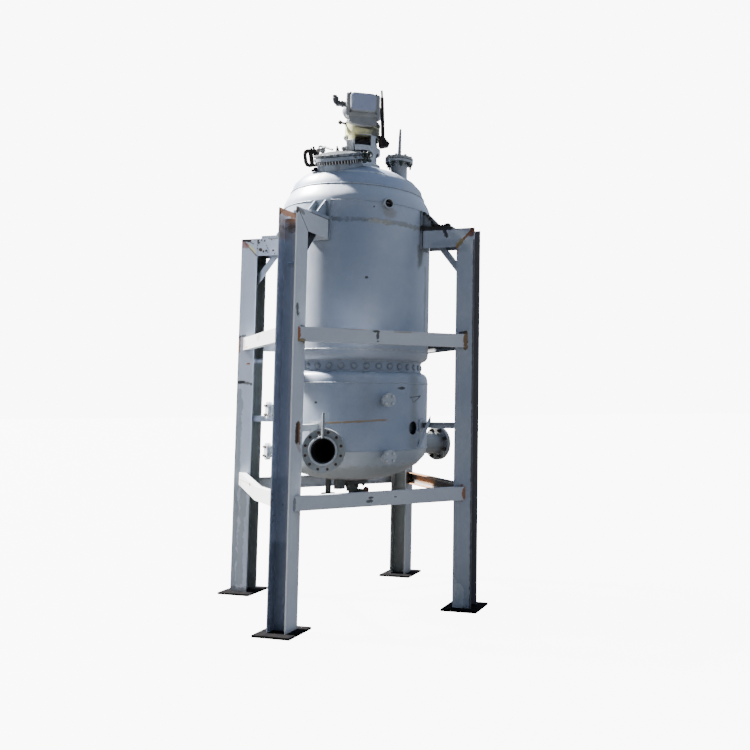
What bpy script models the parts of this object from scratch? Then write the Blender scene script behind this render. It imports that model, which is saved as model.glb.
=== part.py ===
"""Jacketed reactor tank on four H-section gallows legs.

Metres, +Z up. The origin is on the ground under the tank's axis. +X runs along the
front side of the square frame, +Y to its rear. Run it from Blender's text editor or with
blender --background --python part.py
"""
import math

import bmesh
import bpy
from mathutils import Matrix, Vector

GAP = 0.0003
ROUND_STEPS = 64
SMALL_STEPS = 28

# frame
LEG_SPACING = 1.400
SECTION = 0.150
FLANGE_T = 0.010
WEB_T = 0.008
LEG_TOP = 3.000
ARM_END_RADIUS = 0.626
PLATE_SIDE = 0.290
PLATE_T = 0.016
BRACE_SIZE = 0.055
BRACE_T = 0.006
BRACE_LOW = (0.936, 2.637)
BRACE_ANGLE = math.radians(51.3)
BEAM_FACE = 0.770
BEAM_HEIGHT = 0.104
BEAM_DEPTH = 0.048
BEAM_T = 0.006
MID_BEAM_Z = 2.090
LOW_BEAM_Z = 0.893
STAY_SIZE = 0.048
STAY_T = 0.006

# vessel
HEAD_RADIUS = 0.545
HEAD_RISE = 0.250
HEAD_Z = 3.310
WALL_T = 0.012
VESSEL_TOP_Z = 3.262
VESSEL_LOW_Z = 1.252
JACKET_RADIUS = 0.604
JACKET_T = 0.008
JACKET_TOP_Z = 3.165
JACKET_BREAK_TOP = 1.995
JACKET_BREAK_LOW = 1.758
TOP_CLOSURE_Z = 3.305
NECK_TOP_Z = 1.926
NECK_LOW_Z = 1.840
BOTTOM_Z = 1.228
BOTTOM_RISE = 0.268
VESSEL_BOTTOM_RISE = 0.236
VESSEL_SEAM_Z = 1.360
BOWL_SEAM = 4  # the point of the dished end's outline where knuckle and bowl meet

# support lugs
LUG_PAD_T = 0.012
LUG_TOP = 3.160
LUG_LOW = 2.842
LUG_PLATE_T = 0.022
LUG_REACH = 0.872
GUSSET_FOOT = 0.744
GUSSET_SPACING = 0.090

# gear on the head
DRIVE_OFFSET = 0.020
MANWAY_RADIUS = 0.196
MANWAY_NECK_R = 0.180
MANWAY_PLACE = (-0.236, -0.240)
MANWAY_TILT = math.radians(18.5)
MANWAY_GAP_HEIGHT = 0.066
DRIVE_FACING = math.radians(-105)
VIEW_TURN = math.radians(-17.6)
PEDESTAL_RADIUS = 0.154
PEDESTAL_TOP = 3.832
BELL_TOP = 3.946
MOTOR_TOP = 4.150
BOX_Z = 4.051
TOP_NOZZLE_PLACE = (0.316, -0.106)
TOP_NOZZLE_GAP_Z = 3.660

# side nozzles, as direction in plan, height and face distance
MAIN_NOZZLE_AZ = math.radians(-124.0)
MAIN_NOZZLE_Z = 1.247
MAIN_NOZZLE_FACE = 0.760
MAIN_FLANGE_R = 0.162
MAIN_RING_R = 0.100
MAIN_BORE_R = 0.085
MAIN_PIPE_R = 0.093
MAIN_BOLT_R = 0.138
SIDE_NOZZLE_JOINT = (0.580, 0.012)
SIDE_NOZZLE_AZ = math.radians(21.0)
SIDE_NOZZLE_Z = 1.238
SIDE_NOZZLE_LENGTH = 0.234
UPPER_STUB_AZ = math.radians(-86.0)
UPPER_STUB_Z = 3.150
HOLE_AZ = math.radians(-57.5)
HOLE_Z = 1.398
HOLE_RADIUS = 0.053

PAINT = (0.43, 0.47, 0.53)


def clear_scene():
    for obj in list(bpy.data.objects):
        bpy.data.objects.remove(obj, do_unlink=True)


def new_collection(name):
    collection = bpy.data.collections.new(name)
    bpy.context.scene.collection.children.link(collection)
    return collection


clear_scene()
PARTS = new_collection("reactor_tank")
CUTTERS = new_collection("cutters")


def material(name, color, roughness=0.55, metallic=0.0):
    made = bpy.data.materials.new(name)
    made.use_nodes = True
    shader = made.node_tree.nodes["Principled BSDF"]
    shader.inputs["Base Color"].default_value = (*color, 1.0)
    shader.inputs["Roughness"].default_value = roughness
    shader.inputs["Metallic"].default_value = metallic
    made.diffuse_color = (*color, 1.0)
    return made


# shared mesh helpers

def finish(obj, color, roughness=0.55, metallic=0.0):
    obj.data.materials.clear()
    obj.data.materials.append(material(obj.name, color, roughness, metallic))
    obj.data.shade_smooth()
    obj.data.set_sharp_from_angle(angle=math.radians(30))
    return obj


def bake(obj):
    """Apply the object's modifiers and its place to a plain mesh."""
    graph = bpy.context.evaluated_depsgraph_get()
    graph.update()
    mesh = bpy.data.meshes.new_from_object(obj.evaluated_get(graph))
    mesh.transform(obj.matrix_world)
    obj.modifiers.clear()
    obj.data = mesh
    obj.matrix_world = Matrix.Identity(4)
    return obj


def make_object(name, mesh, collection=None):
    obj = bpy.data.objects.new(name, mesh)
    (collection or PARTS).objects.link(obj)
    return obj


def frame_matrix(origin, direction):
    """A matrix whose local Z points along the direction."""
    turn = Vector(direction).to_track_quat("Z", "Y").to_matrix().to_4x4()
    return Matrix.Translation(Vector(origin)) @ turn


def upright(x, y, z, turn=0.0):
    return Matrix.Translation((x, y, z)) @ Matrix.Rotation(turn, 4, "Z")


def turned(name, profile, place=None, steps=SMALL_STEPS, closed=False):
    """Turn a profile of (radius, height) points about local Z.

    The points run down the outer side. A closed profile is a ring.
    """
    mesh = bpy.data.meshes.new(name)
    points = [(r, 0.0, z) for r, z in profile]
    edges = [(i, i + 1) for i in range(len(points) - 1)]
    if closed:
        edges.append((len(points) - 1, 0))
    mesh.from_pydata(points, edges, [])
    obj = make_object(name, mesh)
    screw = obj.modifiers.new("turn", "SCREW")
    screw.axis = "Z"
    screw.steps = steps
    screw.render_steps = steps
    screw.use_merge_vertices = True
    screw.merge_threshold = 0.00005
    screw.use_smooth_shade = True
    obj.matrix_world = place or Matrix.Identity(4)
    bpy.context.view_layer.update()
    return bake(obj)


def outlined(name, outline, thickness, place=None):
    """Extrude a flat outline, drawn in local X and Y, about its middle plane."""
    curve = bpy.data.curves.new(name, "CURVE")
    curve.dimensions = "2D"
    curve.fill_mode = "BOTH"
    curve.extrude = thickness / 2
    spline = curve.splines.new("POLY")
    spline.points.add(len(outline) - 1)
    for point, (x, y) in zip(spline.points, outline):
        point.co = (x, y, 0.0, 1.0)
    spline.use_cyclic_u = True
    holder = make_object(name, curve)
    holder.matrix_world = place or Matrix.Identity(4)
    bpy.context.view_layer.update()
    return curve_to_mesh(holder, name)


def curve_to_mesh(holder, name):
    graph = bpy.context.evaluated_depsgraph_get()
    graph.update()
    mesh = bpy.data.meshes.new_from_object(holder.evaluated_get(graph))
    mesh.transform(holder.matrix_world)
    shape = bmesh.new()
    shape.from_mesh(mesh)
    bmesh.ops.remove_doubles(shape, verts=shape.verts, dist=0.00002)
    bmesh.ops.recalc_face_normals(shape, faces=shape.faces)
    shape.to_mesh(mesh)
    shape.free()
    bpy.data.objects.remove(holder, do_unlink=True)
    return make_object(name, mesh)


def box(name, size, place=None, bevel=0.0):
    shape = bmesh.new()
    bmesh.ops.create_cube(shape, size=1.0)
    bmesh.ops.scale(shape, vec=size, verts=shape.verts)
    mesh = bpy.data.meshes.new(name)
    shape.to_mesh(mesh)
    shape.free()
    obj = make_object(name, mesh)
    if bevel:
        rounded = obj.modifiers.new("rounded", "BEVEL")
        rounded.width = bevel
        rounded.segments = 2
    obj.matrix_world = place or Matrix.Identity(4)
    bpy.context.view_layer.update()
    return bake(obj)


def rod(name, start, end, radius, end_radius=None, steps=12):
    """A round bar between two points, thinner at its end if asked."""
    start, end = Vector(start), Vector(end)
    length = (end - start).length
    tip = radius if end_radius is None else end_radius
    profile = [(0.0, length), (tip, length), (radius, 0.0), (0.0, 0.0)]
    return turned(name, profile, frame_matrix(start, end - start), steps)


def tube(name, points, radius, steps=3):
    """A bent round pipe along a smooth path, with filled caps."""
    curve = bpy.data.curves.new(name, "CURVE")
    curve.dimensions = "3D"
    curve.bevel_depth = radius
    curve.bevel_resolution = steps
    curve.use_fill_caps = True
    spline = curve.splines.new("POLY")
    spline.points.add(len(points) - 1)
    for point, place in zip(spline.points, points):
        point.co = (*place, 1.0)
    return curve_to_mesh(make_object(name, curve), name)


def boolean(obj, other, operation):
    """Join or cut, apply at once, and put the other piece with the cutters."""
    step = obj.modifiers.new(operation.lower(), "BOOLEAN")
    step.operation = operation
    step.object = other
    step.solver = "EXACT"
    bake(obj)
    if other.name in PARTS.objects:
        PARTS.objects.unlink(other)
        CUTTERS.objects.link(other)
    other.hide_render = True
    other.display_type = "WIRE"
    return obj


def join(obj, *others):
    for other in others:
        boolean(obj, other, "UNION")
        bpy.data.objects.remove(other, do_unlink=True)
    return obj


def cut(obj, *cutters):
    for cutter in cutters:
        boolean(obj, cutter, "DIFFERENCE")
    return obj


def cut_and_drop(obj, *cutters):
    for cutter in cutters:
        boolean(obj, cutter, "DIFFERENCE")
        bpy.data.objects.remove(cutter, do_unlink=True)
    return obj


def cap_points(radius, rise, z, count=6, down=False):
    """Points of an elliptical head, from the axis to its rim."""
    sign = -1 if down else 1
    points = []
    for i in range(count + 1):
        angle = math.pi / 2 * i / count
        points.append((radius * math.sin(angle), z + sign * rise * math.cos(angle)))
    points[0] = (0.0, points[0][1])
    return points


# vessel

def head_shape(offset):
    outer = cap_points(HEAD_RADIUS + offset, HEAD_RISE + offset, HEAD_Z)
    return outer + [(HEAD_RADIUS + offset, VESSEL_TOP_Z + GAP)]


def jacket_outline(offset=0.0):
    """Upper jacket from its top closure down to its lower one."""
    r = JACKET_RADIUS + offset
    top = [
        (HEAD_RADIUS + GAP + offset, TOP_CLOSURE_Z),
        (0.562 + offset, 3.277),
        (0.583 + offset, 3.240),
        (0.598 + offset, 3.204),
        (r, JACKET_TOP_Z),
    ]
    low = [
        (r, JACKET_BREAK_TOP),
        (0.598 + offset, 1.966),
        (0.580 + offset, 1.942),
        (HEAD_RADIUS + GAP + offset, NECK_TOP_Z),
    ]
    return top + low


def lower_jacket_outline(offset=0.0):
    r = JACKET_RADIUS + offset
    return [
        (HEAD_RADIUS + GAP + offset, NECK_LOW_Z),
        (0.576 + offset, 1.829),
        (0.596 + offset, 1.802),
        (r, JACKET_BREAK_LOW),
        (r, BOTTOM_Z + GAP),
    ]


def jacket_cutter():
    """Everything inside the jackets' outer face, a gap wider than they are."""
    r = JACKET_RADIUS + GAP
    profile = [(0.0, JACKET_TOP_Z + 0.06), (0.575, JACKET_TOP_Z + 0.06), (0.590 + GAP, 3.225)]
    profile += [(0.598 + GAP, 3.204), (r, JACKET_TOP_Z), (r, BOTTOM_Z)]
    bowl = cap_points(JACKET_RADIUS + GAP, BOTTOM_RISE + GAP, BOTTOM_Z, down=True)
    profile += list(reversed(bowl))[1:]
    return turned("jacket_cutter", profile, steps=ROUND_STEPS)


def bottom_cutter(offset):
    """The bottom head and the space above it."""
    bowl = cap_points(JACKET_RADIUS + offset, BOTTOM_RISE + offset, BOTTOM_Z, down=True)
    profile = [(0.0, BOTTOM_Z + 0.1), (JACKET_RADIUS + offset, BOTTOM_Z + 0.1)] + list(reversed(bowl))
    return turned("bottom_cutter", profile, steps=ROUND_STEPS)


def head_cutter():
    profile = head_shape(GAP)
    profile[-1] = (HEAD_RADIUS + GAP, VESSEL_LOW_Z)
    profile.append((0.0, VESSEL_LOW_Z))
    return turned("head_cutter", profile, steps=ROUND_STEPS)


def vessel_cutter():
    """The inner vessel's outer face, a gap wider than it is."""
    r = HEAD_RADIUS + GAP
    bowl = cap_points(r, VESSEL_BOTTOM_RISE + GAP, VESSEL_LOW_Z, down=True)
    profile = [(0.0, HEAD_Z), (r, HEAD_Z), (r, VESSEL_LOW_Z)]
    profile += list(reversed(bowl))[1:]
    return turned("vessel_cutter", profile, steps=ROUND_STEPS)


def shell_ring(name, outer, thickness):
    """A turned wall: the outline, and the same outline moved inwards."""
    inner = [(r - thickness, z) for r, z in reversed(outer)]
    inner[0] = (outer[-1][0], outer[-1][1] + thickness)
    inner[-1] = (outer[0][0], outer[0][1] - thickness)
    if name == "lower_jacket":
        inner[0] = (outer[-1][0] - thickness, outer[-1][1])
    return turned(name, outer + inner, steps=ROUND_STEPS, closed=True)


def top_head():
    outer = head_shape(0.0)
    inner = cap_points(HEAD_RADIUS - WALL_T, HEAD_RISE - WALL_T, HEAD_Z, count=5)
    profile = outer + [(HEAD_RADIUS - WALL_T, outer[-1][1])] + list(reversed(inner))
    head = turned("top_head", profile, steps=ROUND_STEPS)
    return finish(head, PAINT)


def inner_vessel():
    """The straight inner shell, the knuckle ring that takes the large nozzle, and the bowl under it."""
    r = HEAD_RADIUS
    straight = [(r, VESSEL_TOP_Z), (r, VESSEL_SEAM_Z), (r - WALL_T, VESSEL_SEAM_Z), (r - WALL_T, VESSEL_TOP_Z)]
    shell = turned("inner_vessel", straight, steps=ROUND_STEPS, closed=True)
    rim = VESSEL_SEAM_Z - GAP
    bowl = cap_points(r, VESSEL_BOTTOM_RISE, VESSEL_LOW_Z, down=True)
    lining = cap_points(r - WALL_T, VESSEL_BOTTOM_RISE - WALL_T, VESSEL_LOW_Z, down=True)
    profile = [(r, rim)] + list(reversed(bowl[BOWL_SEAM:])) + lining[BOWL_SEAM:] + [(r - WALL_T, rim)]
    knuckle = turned("inner_knuckle", profile, steps=ROUND_STEPS, closed=True)
    dish = list(reversed(bowl[:BOWL_SEAM + 1])) + lining[:BOWL_SEAM + 1]
    dish = [(radius, z - 1.2 * GAP) for radius, z in dish]
    bottom = turned("inner_bottom", dish, steps=ROUND_STEPS, closed=False)
    close_rim(bottom)
    return finish(shell, PAINT), finish(knuckle, PAINT), finish(bottom, PAINT)


def jackets():
    upper = shell_ring("upper_jacket", jacket_outline(), JACKET_T)
    lower = shell_ring("lower_jacket", lower_jacket_outline(), JACKET_T)
    hole_direction = (math.cos(HOLE_AZ), math.sin(HOLE_AZ), 0.0)
    hole = rod("hole_cutter", (hole_direction[0] * 0.57, hole_direction[1] * 0.57, HOLE_Z),
               (hole_direction[0] * 0.65, hole_direction[1] * 0.65, HOLE_Z), HOLE_RADIUS, steps=20)
    cut_and_drop(lower, hole)
    bowl = cap_points(JACKET_RADIUS, BOTTOM_RISE, BOTTOM_Z, down=True)
    inside = cap_points(JACKET_RADIUS - JACKET_T, BOTTOM_RISE - JACKET_T, BOTTOM_Z, count=5, down=True)
    profile = list(reversed(bowl)) + inside
    bottom = turned("bottom_head", profile, steps=ROUND_STEPS, closed=False)
    close_rim(bottom)
    for shell in (upper, lower, bottom):
        finish(shell, PAINT)
    return upper, lower, bottom


def close_rim(obj):
    """Fill a turned wall's open rim and point its faces out."""
    shape = bmesh.new()
    shape.from_mesh(obj.data)
    loose = [edge for edge in shape.edges if edge.is_boundary]
    if loose:
        bmesh.ops.bridge_loops(shape, edges=loose)
    bmesh.ops.recalc_face_normals(shape, faces=shape.faces)
    shape.to_mesh(obj.data)
    shape.free()


# frame

STAY_HEIGHTS = {"front_left": 1.414, "front_right": 1.417, "rear_right": 1.435, "rear_left": 1.453}
LEGS = {
    "front_left": math.radians(225),
    "front_right": math.radians(315),
    "rear_right": math.radians(45),
    "rear_left": math.radians(135),
}
POST_RADIUS = LEG_SPACING / math.sqrt(2)


def radial_plane(side=0.0):
    """An upright plane: local X runs outwards from the tank's axis along +X, local Y up."""
    return Matrix((
        (1.0, 0.0, 0.0, 0.0),
        (0.0, 0.0, -1.0, -side),
        (0.0, 1.0, 0.0, 0.0),
        (0.0, 0.0, 0.0, 1.0),
    ))


def swing(obj, angle):
    """Turn a piece that was built on the +X side about the tank's axis."""
    obj.data.transform(Matrix.Rotation(angle, 4, "Z"))
    return obj


def gallows_outline(reach_out, reach_in, top, low_of_arm):
    """An upright and an arm towards the tank, as one mitred outline."""
    return [
        (reach_out, PLATE_T + GAP),
        (reach_out, top),
        (ARM_END_RADIUS, top),
        (ARM_END_RADIUS, low_of_arm),
        (reach_in, low_of_arm),
        (reach_in, PLATE_T + GAP),
    ]


def knee_brace():
    """An angle bar across the corner, from the upright's web to the arm's."""
    along = Vector((-math.cos(BRACE_ANGLE), 0.0, math.sin(BRACE_ANGLE)))
    centre = Vector((BRACE_LOW[0], 0.0, BRACE_LOW[1])) + along * 0.1405
    half = BRACE_SIZE / 2
    outline = [
        (-half, -half), (half, -half), (half, BRACE_T - half), (BRACE_T - half, BRACE_T - half),
        (BRACE_T - half, half), (-half, half),
    ]
    across = Vector((along.z, 0.0, -along.x))
    matrix = Matrix((
        (-across.x, 0.0, along.x, centre.x),
        (0.0, -1.0, 0.0, 0.0),
        (-across.z, 0.0, along.z, centre.z),
        (0.0, 0.0, 0.0, 1.0),
    ))
    return outlined("brace", outline, 0.447, matrix)


def leg(place, angle):
    half = SECTION / 2
    outer = gallows_outline(POST_RADIUS + half, POST_RADIUS - half, LEG_TOP, LEG_TOP - SECTION)
    web = gallows_outline(POST_RADIUS + WEB_T / 2, POST_RADIUS - WEB_T / 2,
                          LEG_TOP - half + WEB_T / 2, LEG_TOP - half - WEB_T / 2)
    offset = half - FLANGE_T / 2
    body = outlined("leg_" + place, web, SECTION - FLANGE_T, radial_plane())
    near = outlined("flange", outer, FLANGE_T, radial_plane(offset))
    far = outlined("flange", outer, FLANGE_T, radial_plane(-offset))
    join(body, near, far, knee_brace())
    return finish(swing(body, angle), PAINT)


def base_plate(place, angle):
    out = Vector((math.cos(angle), math.sin(angle), 0.0)) * POST_RADIUS
    plate = box("base_plate_" + place, (PLATE_SIDE, PLATE_SIDE, PLATE_T),
                upright(out.x, out.y, PLATE_T / 2, angle))
    return finish(plate, (0.035, 0.033, 0.032), 0.8)


def beam_end(y):
    """Half length of a beam at a distance from the axis, where it meets the flange faces."""
    return y - SECTION / math.sqrt(2) - GAP * 1.5


def beam_strip(start, end, inner, outer):
    """Plan outline of a strip of the beam, with its mitred ends."""
    low = [(-beam_end(outer), -outer), (-beam_end(inner), -inner)]
    high = [(beam_end(inner), -inner), (beam_end(outer), -outer)]
    if start is not None:
        low = [(start, -outer), (start, -inner)]
    if end is not None:
        high = [(end, -inner), (end, -outer)]
    return low + high


def channel(name, z, start=None, end=None):
    """A channel with its flat back outwards, along the front side."""
    face, back = BEAM_FACE, BEAM_FACE - BEAM_DEPTH
    web = outlined(name, beam_strip(start, end, face - BEAM_T, face), BEAM_HEIGHT,
                   Matrix.Translation((0, 0, z)))
    lip_z = BEAM_HEIGHT / 2 - BEAM_T / 2
    for sign in (-1, 1):
        lip = outlined("lip", beam_strip(start, end, back, face), BEAM_T,
                       Matrix.Translation((0, 0, z + sign * lip_z)))
        join(web, lip)
    return web


def ring_beam(name, z, turn):
    beam = channel(name, z)
    beam.data.transform(Matrix.Rotation(turn, 4, "Z"))
    return finish(beam, PAINT)


def bent_beam(name, turn):
    """The lower left beam: it sags to a bend and rises again to the rear leg."""
    bend, lap = 0.0, 0.012
    front_rise, rear_rise = -0.022, -0.058
    rear = channel(name, LOW_BEAM_Z, end=bend + lap)
    front = channel("front_half", LOW_BEAM_Z, start=bend)
    slope(rear, bend, rear_rise / -0.664 * -1)
    slope(front, bend, front_rise / -0.664)
    join(rear, front)
    rear.data.transform(Matrix.Rotation(turn, 4, "Z"))
    return finish(rear, PAINT)


def slope(obj, bend, rise_per_metre):
    """Shear a piece upwards along local X, away from the bend."""
    shear = Matrix.Identity(4)
    shear[2][0] = rise_per_metre
    shear[2][3] = -rise_per_metre * bend
    obj.data.transform(shear)


def stay(place, angle, cutter):
    """An angle bar from the upright's web to a pad on the jacket."""
    inner = JACKET_RADIUS - 0.012
    outer = POST_RADIUS - WEB_T / 2 - GAP
    half = STAY_SIZE / 2
    outline = [
        (-half, half), (half, half), (half, -half), (half - STAY_T, -half),
        (half - STAY_T, half - STAY_T), (-half, half - STAY_T),
    ]
    lengthwise = Matrix((
        (0.0, 0.0, 1.0, (inner + outer) / 2),
        (1.0, 0.0, 0.0, 0.0),
        (0.0, 1.0, 0.0, STAY_HEIGHTS[place]),
        (0.0, 0.0, 0.0, 1.0),
    ))
    bar = outlined("stay_" + place, outline, outer - inner, lengthwise)
    pad = box("pad", (0.022, 0.100, 0.094), upright(JACKET_RADIUS + 0.001, 0.0, STAY_HEIGHTS[place]))
    join(bar, pad)
    swing(bar, angle)
    if place == "front_right":
        join(bar, pointed_bar())
    cut(bar, cutter)
    return finish(bar, PAINT)


def pointed_bar():
    """A slanting flat bar with a pointed top, across the front right stay."""
    right = Vector((math.cos(VIEW_TURN), math.sin(VIEW_TURN), 0.0))
    near = Vector((right.y, -right.x, 0.0))
    outline = [
        (0.504, 1.247), (0.527, 1.247), (0.576, 1.376), (0.607, 1.448),
        (0.604, 1.495), (0.581, 1.452), (0.552, 1.377),
    ]
    place = Matrix((
        (right.x, 0.0, near.x, near.x * 0.324),
        (right.y, 0.0, near.y, near.y * 0.324),
        (0.0, 1.0, 0.0, 0.0),
        (0.0, 0.0, 0.0, 1.0),
    ))
    return outlined("pointed_bar", outline, 0.016, place)


def lug(place, angle, cutter):
    """A pad on the jacket and a seat on the leg's arm, with two gussets between them."""
    pad_outer = JACKET_RADIUS + LUG_PAD_T
    body = box("lug_" + place, (0.030, 0.160, LUG_TOP - LUG_LOW),
               upright(pad_outer - 0.015, 0.0, (LUG_TOP + LUG_LOW) / 2))
    seat_middle = (pad_outer - 0.01 + LUG_REACH) / 2
    plate = box("seat", (LUG_REACH - pad_outer + 0.01, 0.150, LUG_PLATE_T),
                upright(seat_middle, 0.0, LEG_TOP + GAP + LUG_PLATE_T / 2))
    join(body, plate)
    seat = LEG_TOP + GAP + LUG_PLATE_T
    outline = [
        (pad_outer - 0.008, seat - 0.008),
        (GUSSET_FOOT, seat - 0.008),
        (GUSSET_FOOT, seat + 0.018),
        (pad_outer + 0.012, LUG_TOP - 0.006),
        (pad_outer - 0.008, LUG_TOP - 0.006),
    ]
    for side in (-1, 1):
        join(body, outlined("gusset", outline, 0.010, radial_plane(side * GUSSET_SPACING / 2)))
    cut(body, cutter)
    return finish(swing(body, angle), (0.30, 0.33, 0.38))


# nozzles

def flanged_pipe(name, place, pipe_r, flange_r, flange_t, length, bore=None, ring_r=None, steps=SMALL_STEPS):
    """A pipe that ends in a flange at local height 0 and reaches back along local -Z."""
    ring = ring_r or pipe_r * 1.3
    face = [(ring, 0.0), (ring, -0.003), (flange_r, -0.003), (flange_r, -flange_t)]
    hub = [(pipe_r * 1.12, -flange_t), (pipe_r, -flange_t - pipe_r * 0.25), (pipe_r, -length)]
    if bore:
        profile = [(bore, 0.0)] + face + hub + [(bore, -length)]
        return turned(name, profile, place, steps, closed=True)
    return turned(name, [(0.0, 0.0)] + face + hub + [(0.0, -length)], place, steps)


def blind_nozzle(name, place, pipe_r, flange_r, flange_t, length, steps=20):
    """A flanged pipe shut with a blind flange; a groove marks the joint between them."""
    groove = flange_r * 0.72
    profile = [
        (0.0, flange_t + 0.003),
        (flange_r, flange_t + 0.003),
        (flange_r, 0.003),
        (groove, 0.003),
        (groove, 0.0),
        (flange_r, 0.0),
        (flange_r, -flange_t),
        (pipe_r, -flange_t - 0.004),
        (pipe_r, -length),
        (0.0, -length),
    ]
    return turned(name, profile, place, steps)


def radial_place(azimuth, z, distance):
    direction = Vector((math.cos(azimuth), math.sin(azimuth), 0.0))
    return frame_matrix(direction * distance + Vector((0, 0, z)), direction)


def main_nozzle(vessel, lower, bottom, face_cutter):
    """The large open nozzle at the front left, through the jacket into the vessel."""
    place = radial_place(MAIN_NOZZLE_AZ, MAIN_NOZZLE_Z, MAIN_NOZZLE_FACE)
    nozzle = flanged_pipe("main_nozzle", place, MAIN_PIPE_R, MAIN_FLANGE_R, 0.026, 0.235, MAIN_BORE_R,
                          MAIN_RING_R, 36)
    for i in range(12):
        angle = math.radians(15 + 30 * i)
        across, up = MAIN_BOLT_R * math.cos(angle), MAIN_BOLT_R * math.sin(angle)
        hole = rod("bolt_hole", place @ Vector((across, up, -0.05)), place @ Vector((across, up, 0.01)),
                   0.011, steps=8)
        cut_and_drop(nozzle, hole)
    cut(nozzle, face_cutter)
    foot = place @ Vector((0.0, 0.0, 0.006)) + Vector((0, 0, 0.091))
    bar = rod("bar", foot, foot + Vector((0, 0, 0.186)), 0.0105)
    join(nozzle, bar)
    inward = place @ Vector((0, 0, -0.35))
    outward = place @ Vector((0, 0, -0.05))
    clear = rod("nozzle_hole", inward, outward, MAIN_PIPE_R + 0.0009, steps=36)
    cut(lower, clear)
    cut(bottom, clear)
    bpy.data.objects.remove(clear, do_unlink=True)
    cut_and_drop(vessel, rod("vessel_hole", inward, outward, MAIN_BORE_R, steps=36))
    return finish(nozzle, PAINT)


def side_nozzle(face_cutter):
    """The slanting branch on the right, shut with a blank plate."""
    direction = Vector((math.cos(SIDE_NOZZLE_AZ), math.sin(SIDE_NOZZLE_AZ), 0.0))
    joint = Vector((*SIDE_NOZZLE_JOINT, SIDE_NOZZLE_Z))
    place = frame_matrix(joint + direction * SIDE_NOZZLE_LENGTH, direction)
    profile = [
        (0.0, 0.012), (0.146, 0.012), (0.146, 0.001), (0.106, 0.001), (0.106, -0.001), (0.146, -0.001),
        (0.146, -0.022), (0.094, -0.022), (0.084, -0.044), (0.084, -0.420), (0.077, -0.420),
        (0.077, 0.0), (0.0, 0.0),
    ]
    nozzle = turned("side_nozzle", profile, place, 32)
    cut(nozzle, face_cutter)
    return finish(nozzle, PAINT)


def small_nozzles(face_cutter):
    rows = (
        ("gauge_nozzle_upper", math.radians(-86), 1.620, 0.694, 0.0170, 0.0535, 0.016),
        ("gauge_nozzle_lower", math.radians(-85), 1.190, 0.694, 0.0170, 0.0535, 0.016),
        ("left_nozzle_upper", math.radians(178), 1.535, 0.678, 0.0240, 0.0660, 0.016),
        ("left_nozzle_lower", math.radians(178), 1.213, 0.678, 0.0240, 0.0660, 0.016),
    )
    for name, azimuth, z, distance, pipe_r, flange_r, flange_t in rows:
        nozzle = blind_nozzle(name, radial_place(azimuth, z, distance), pipe_r, flange_r, flange_t, 0.13)
        cut(nozzle, face_cutter)
        finish(nozzle, PAINT)


def upper_stub(face_cutter):
    place = radial_place(UPPER_STUB_AZ, UPPER_STUB_Z, JACKET_RADIUS + 0.034)
    profile = [(0.032, 0.0), (0.040, 0.0), (0.040, -0.110), (0.032, -0.110)]
    stub = turned("upper_stub", profile, place, 24, closed=True)
    cut(stub, face_cutter)
    return finish(stub, PAINT)


def bottom_gear(bottom, face_cutter):
    """Outlet with its valve under the middle, a stub and a drain pipe beside it."""
    outlet_profile = [
        (0.040, 1.002), (0.052, 1.002), (0.052, 0.985), (0.126, 0.985), (0.126, 0.942), (0.052, 0.940),
        (0.052, 0.897), (0.040, 0.897),
    ]
    outlet = turned("outlet_nozzle", outlet_profile, steps=24, closed=True)
    dish = bottom_cutter(GAP)
    core = rod("core", (0, 0, 0.8), (0, 0, 1.2), 0.0515, steps=24)
    cut_and_drop(dish, core)
    cut_and_drop(outlet, dish)
    finish(outlet, PAINT)
    cut_and_drop(bottom, rod("outlet_hole", (0, 0, 0.9), (0, 0, 1.05), 0.0523, steps=24))

    right = Vector((math.cos(VIEW_TURN), math.sin(VIEW_TURN), 0.0))
    near = Vector((right.y, -right.x, 0.0))
    valve = turned("outlet_valve", [(0.0, 0.897 - GAP), (0.046, 0.897 - GAP), (0.046, 0.874), (0.030, 0.870),
                                    (0.030, 0.800), (0.044, 0.796), (0.044, 0.784), (0.0, 0.784)], steps=20)
    low = Vector((0, 0, 0.873))
    stem = rod("stem", low + right * 0.01, low + right * 0.098 - Vector((0, 0, 0.006)), 0.022, 0.018)
    ring = low + right * 0.036 - Vector((0, 0, 0.032))
    disc = rod("disc", ring, ring + Vector((0, 0, 0.024)), 0.048, steps=18)
    hub = low + right * 0.112 + Vector((0, 0, 0.006))
    wheel = rod("wheel", hub - near * 0.014, hub + near * 0.014, 0.024, steps=18)
    spindle = rod("spindle", low + right * 0.08 - Vector((0, 0, 0.004)), hub, 0.011)
    join(valve, stem, disc, spindle, wheel)
    finish(valve, (0.10, 0.11, 0.11))

    drain_middle = right * -0.190 + near * 0.030
    drain = blind_nozzle("drain_pipe", frame_matrix((drain_middle.x, drain_middle.y, 0.850), (0, 0, -1)),
                         0.0225, 0.0560, 0.014, 0.20)
    cut(drain, face_cutter)
    finish(drain, PAINT)
    place = right * -0.0985 + near * 0.200
    stub = rod("bottom_stub", (place.x, place.y, 0.914), (place.x, place.y, 1.08), 0.044, steps=20)
    cut(stub, face_cutter)
    finish(stub, PAINT)


# gear on the head

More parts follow.
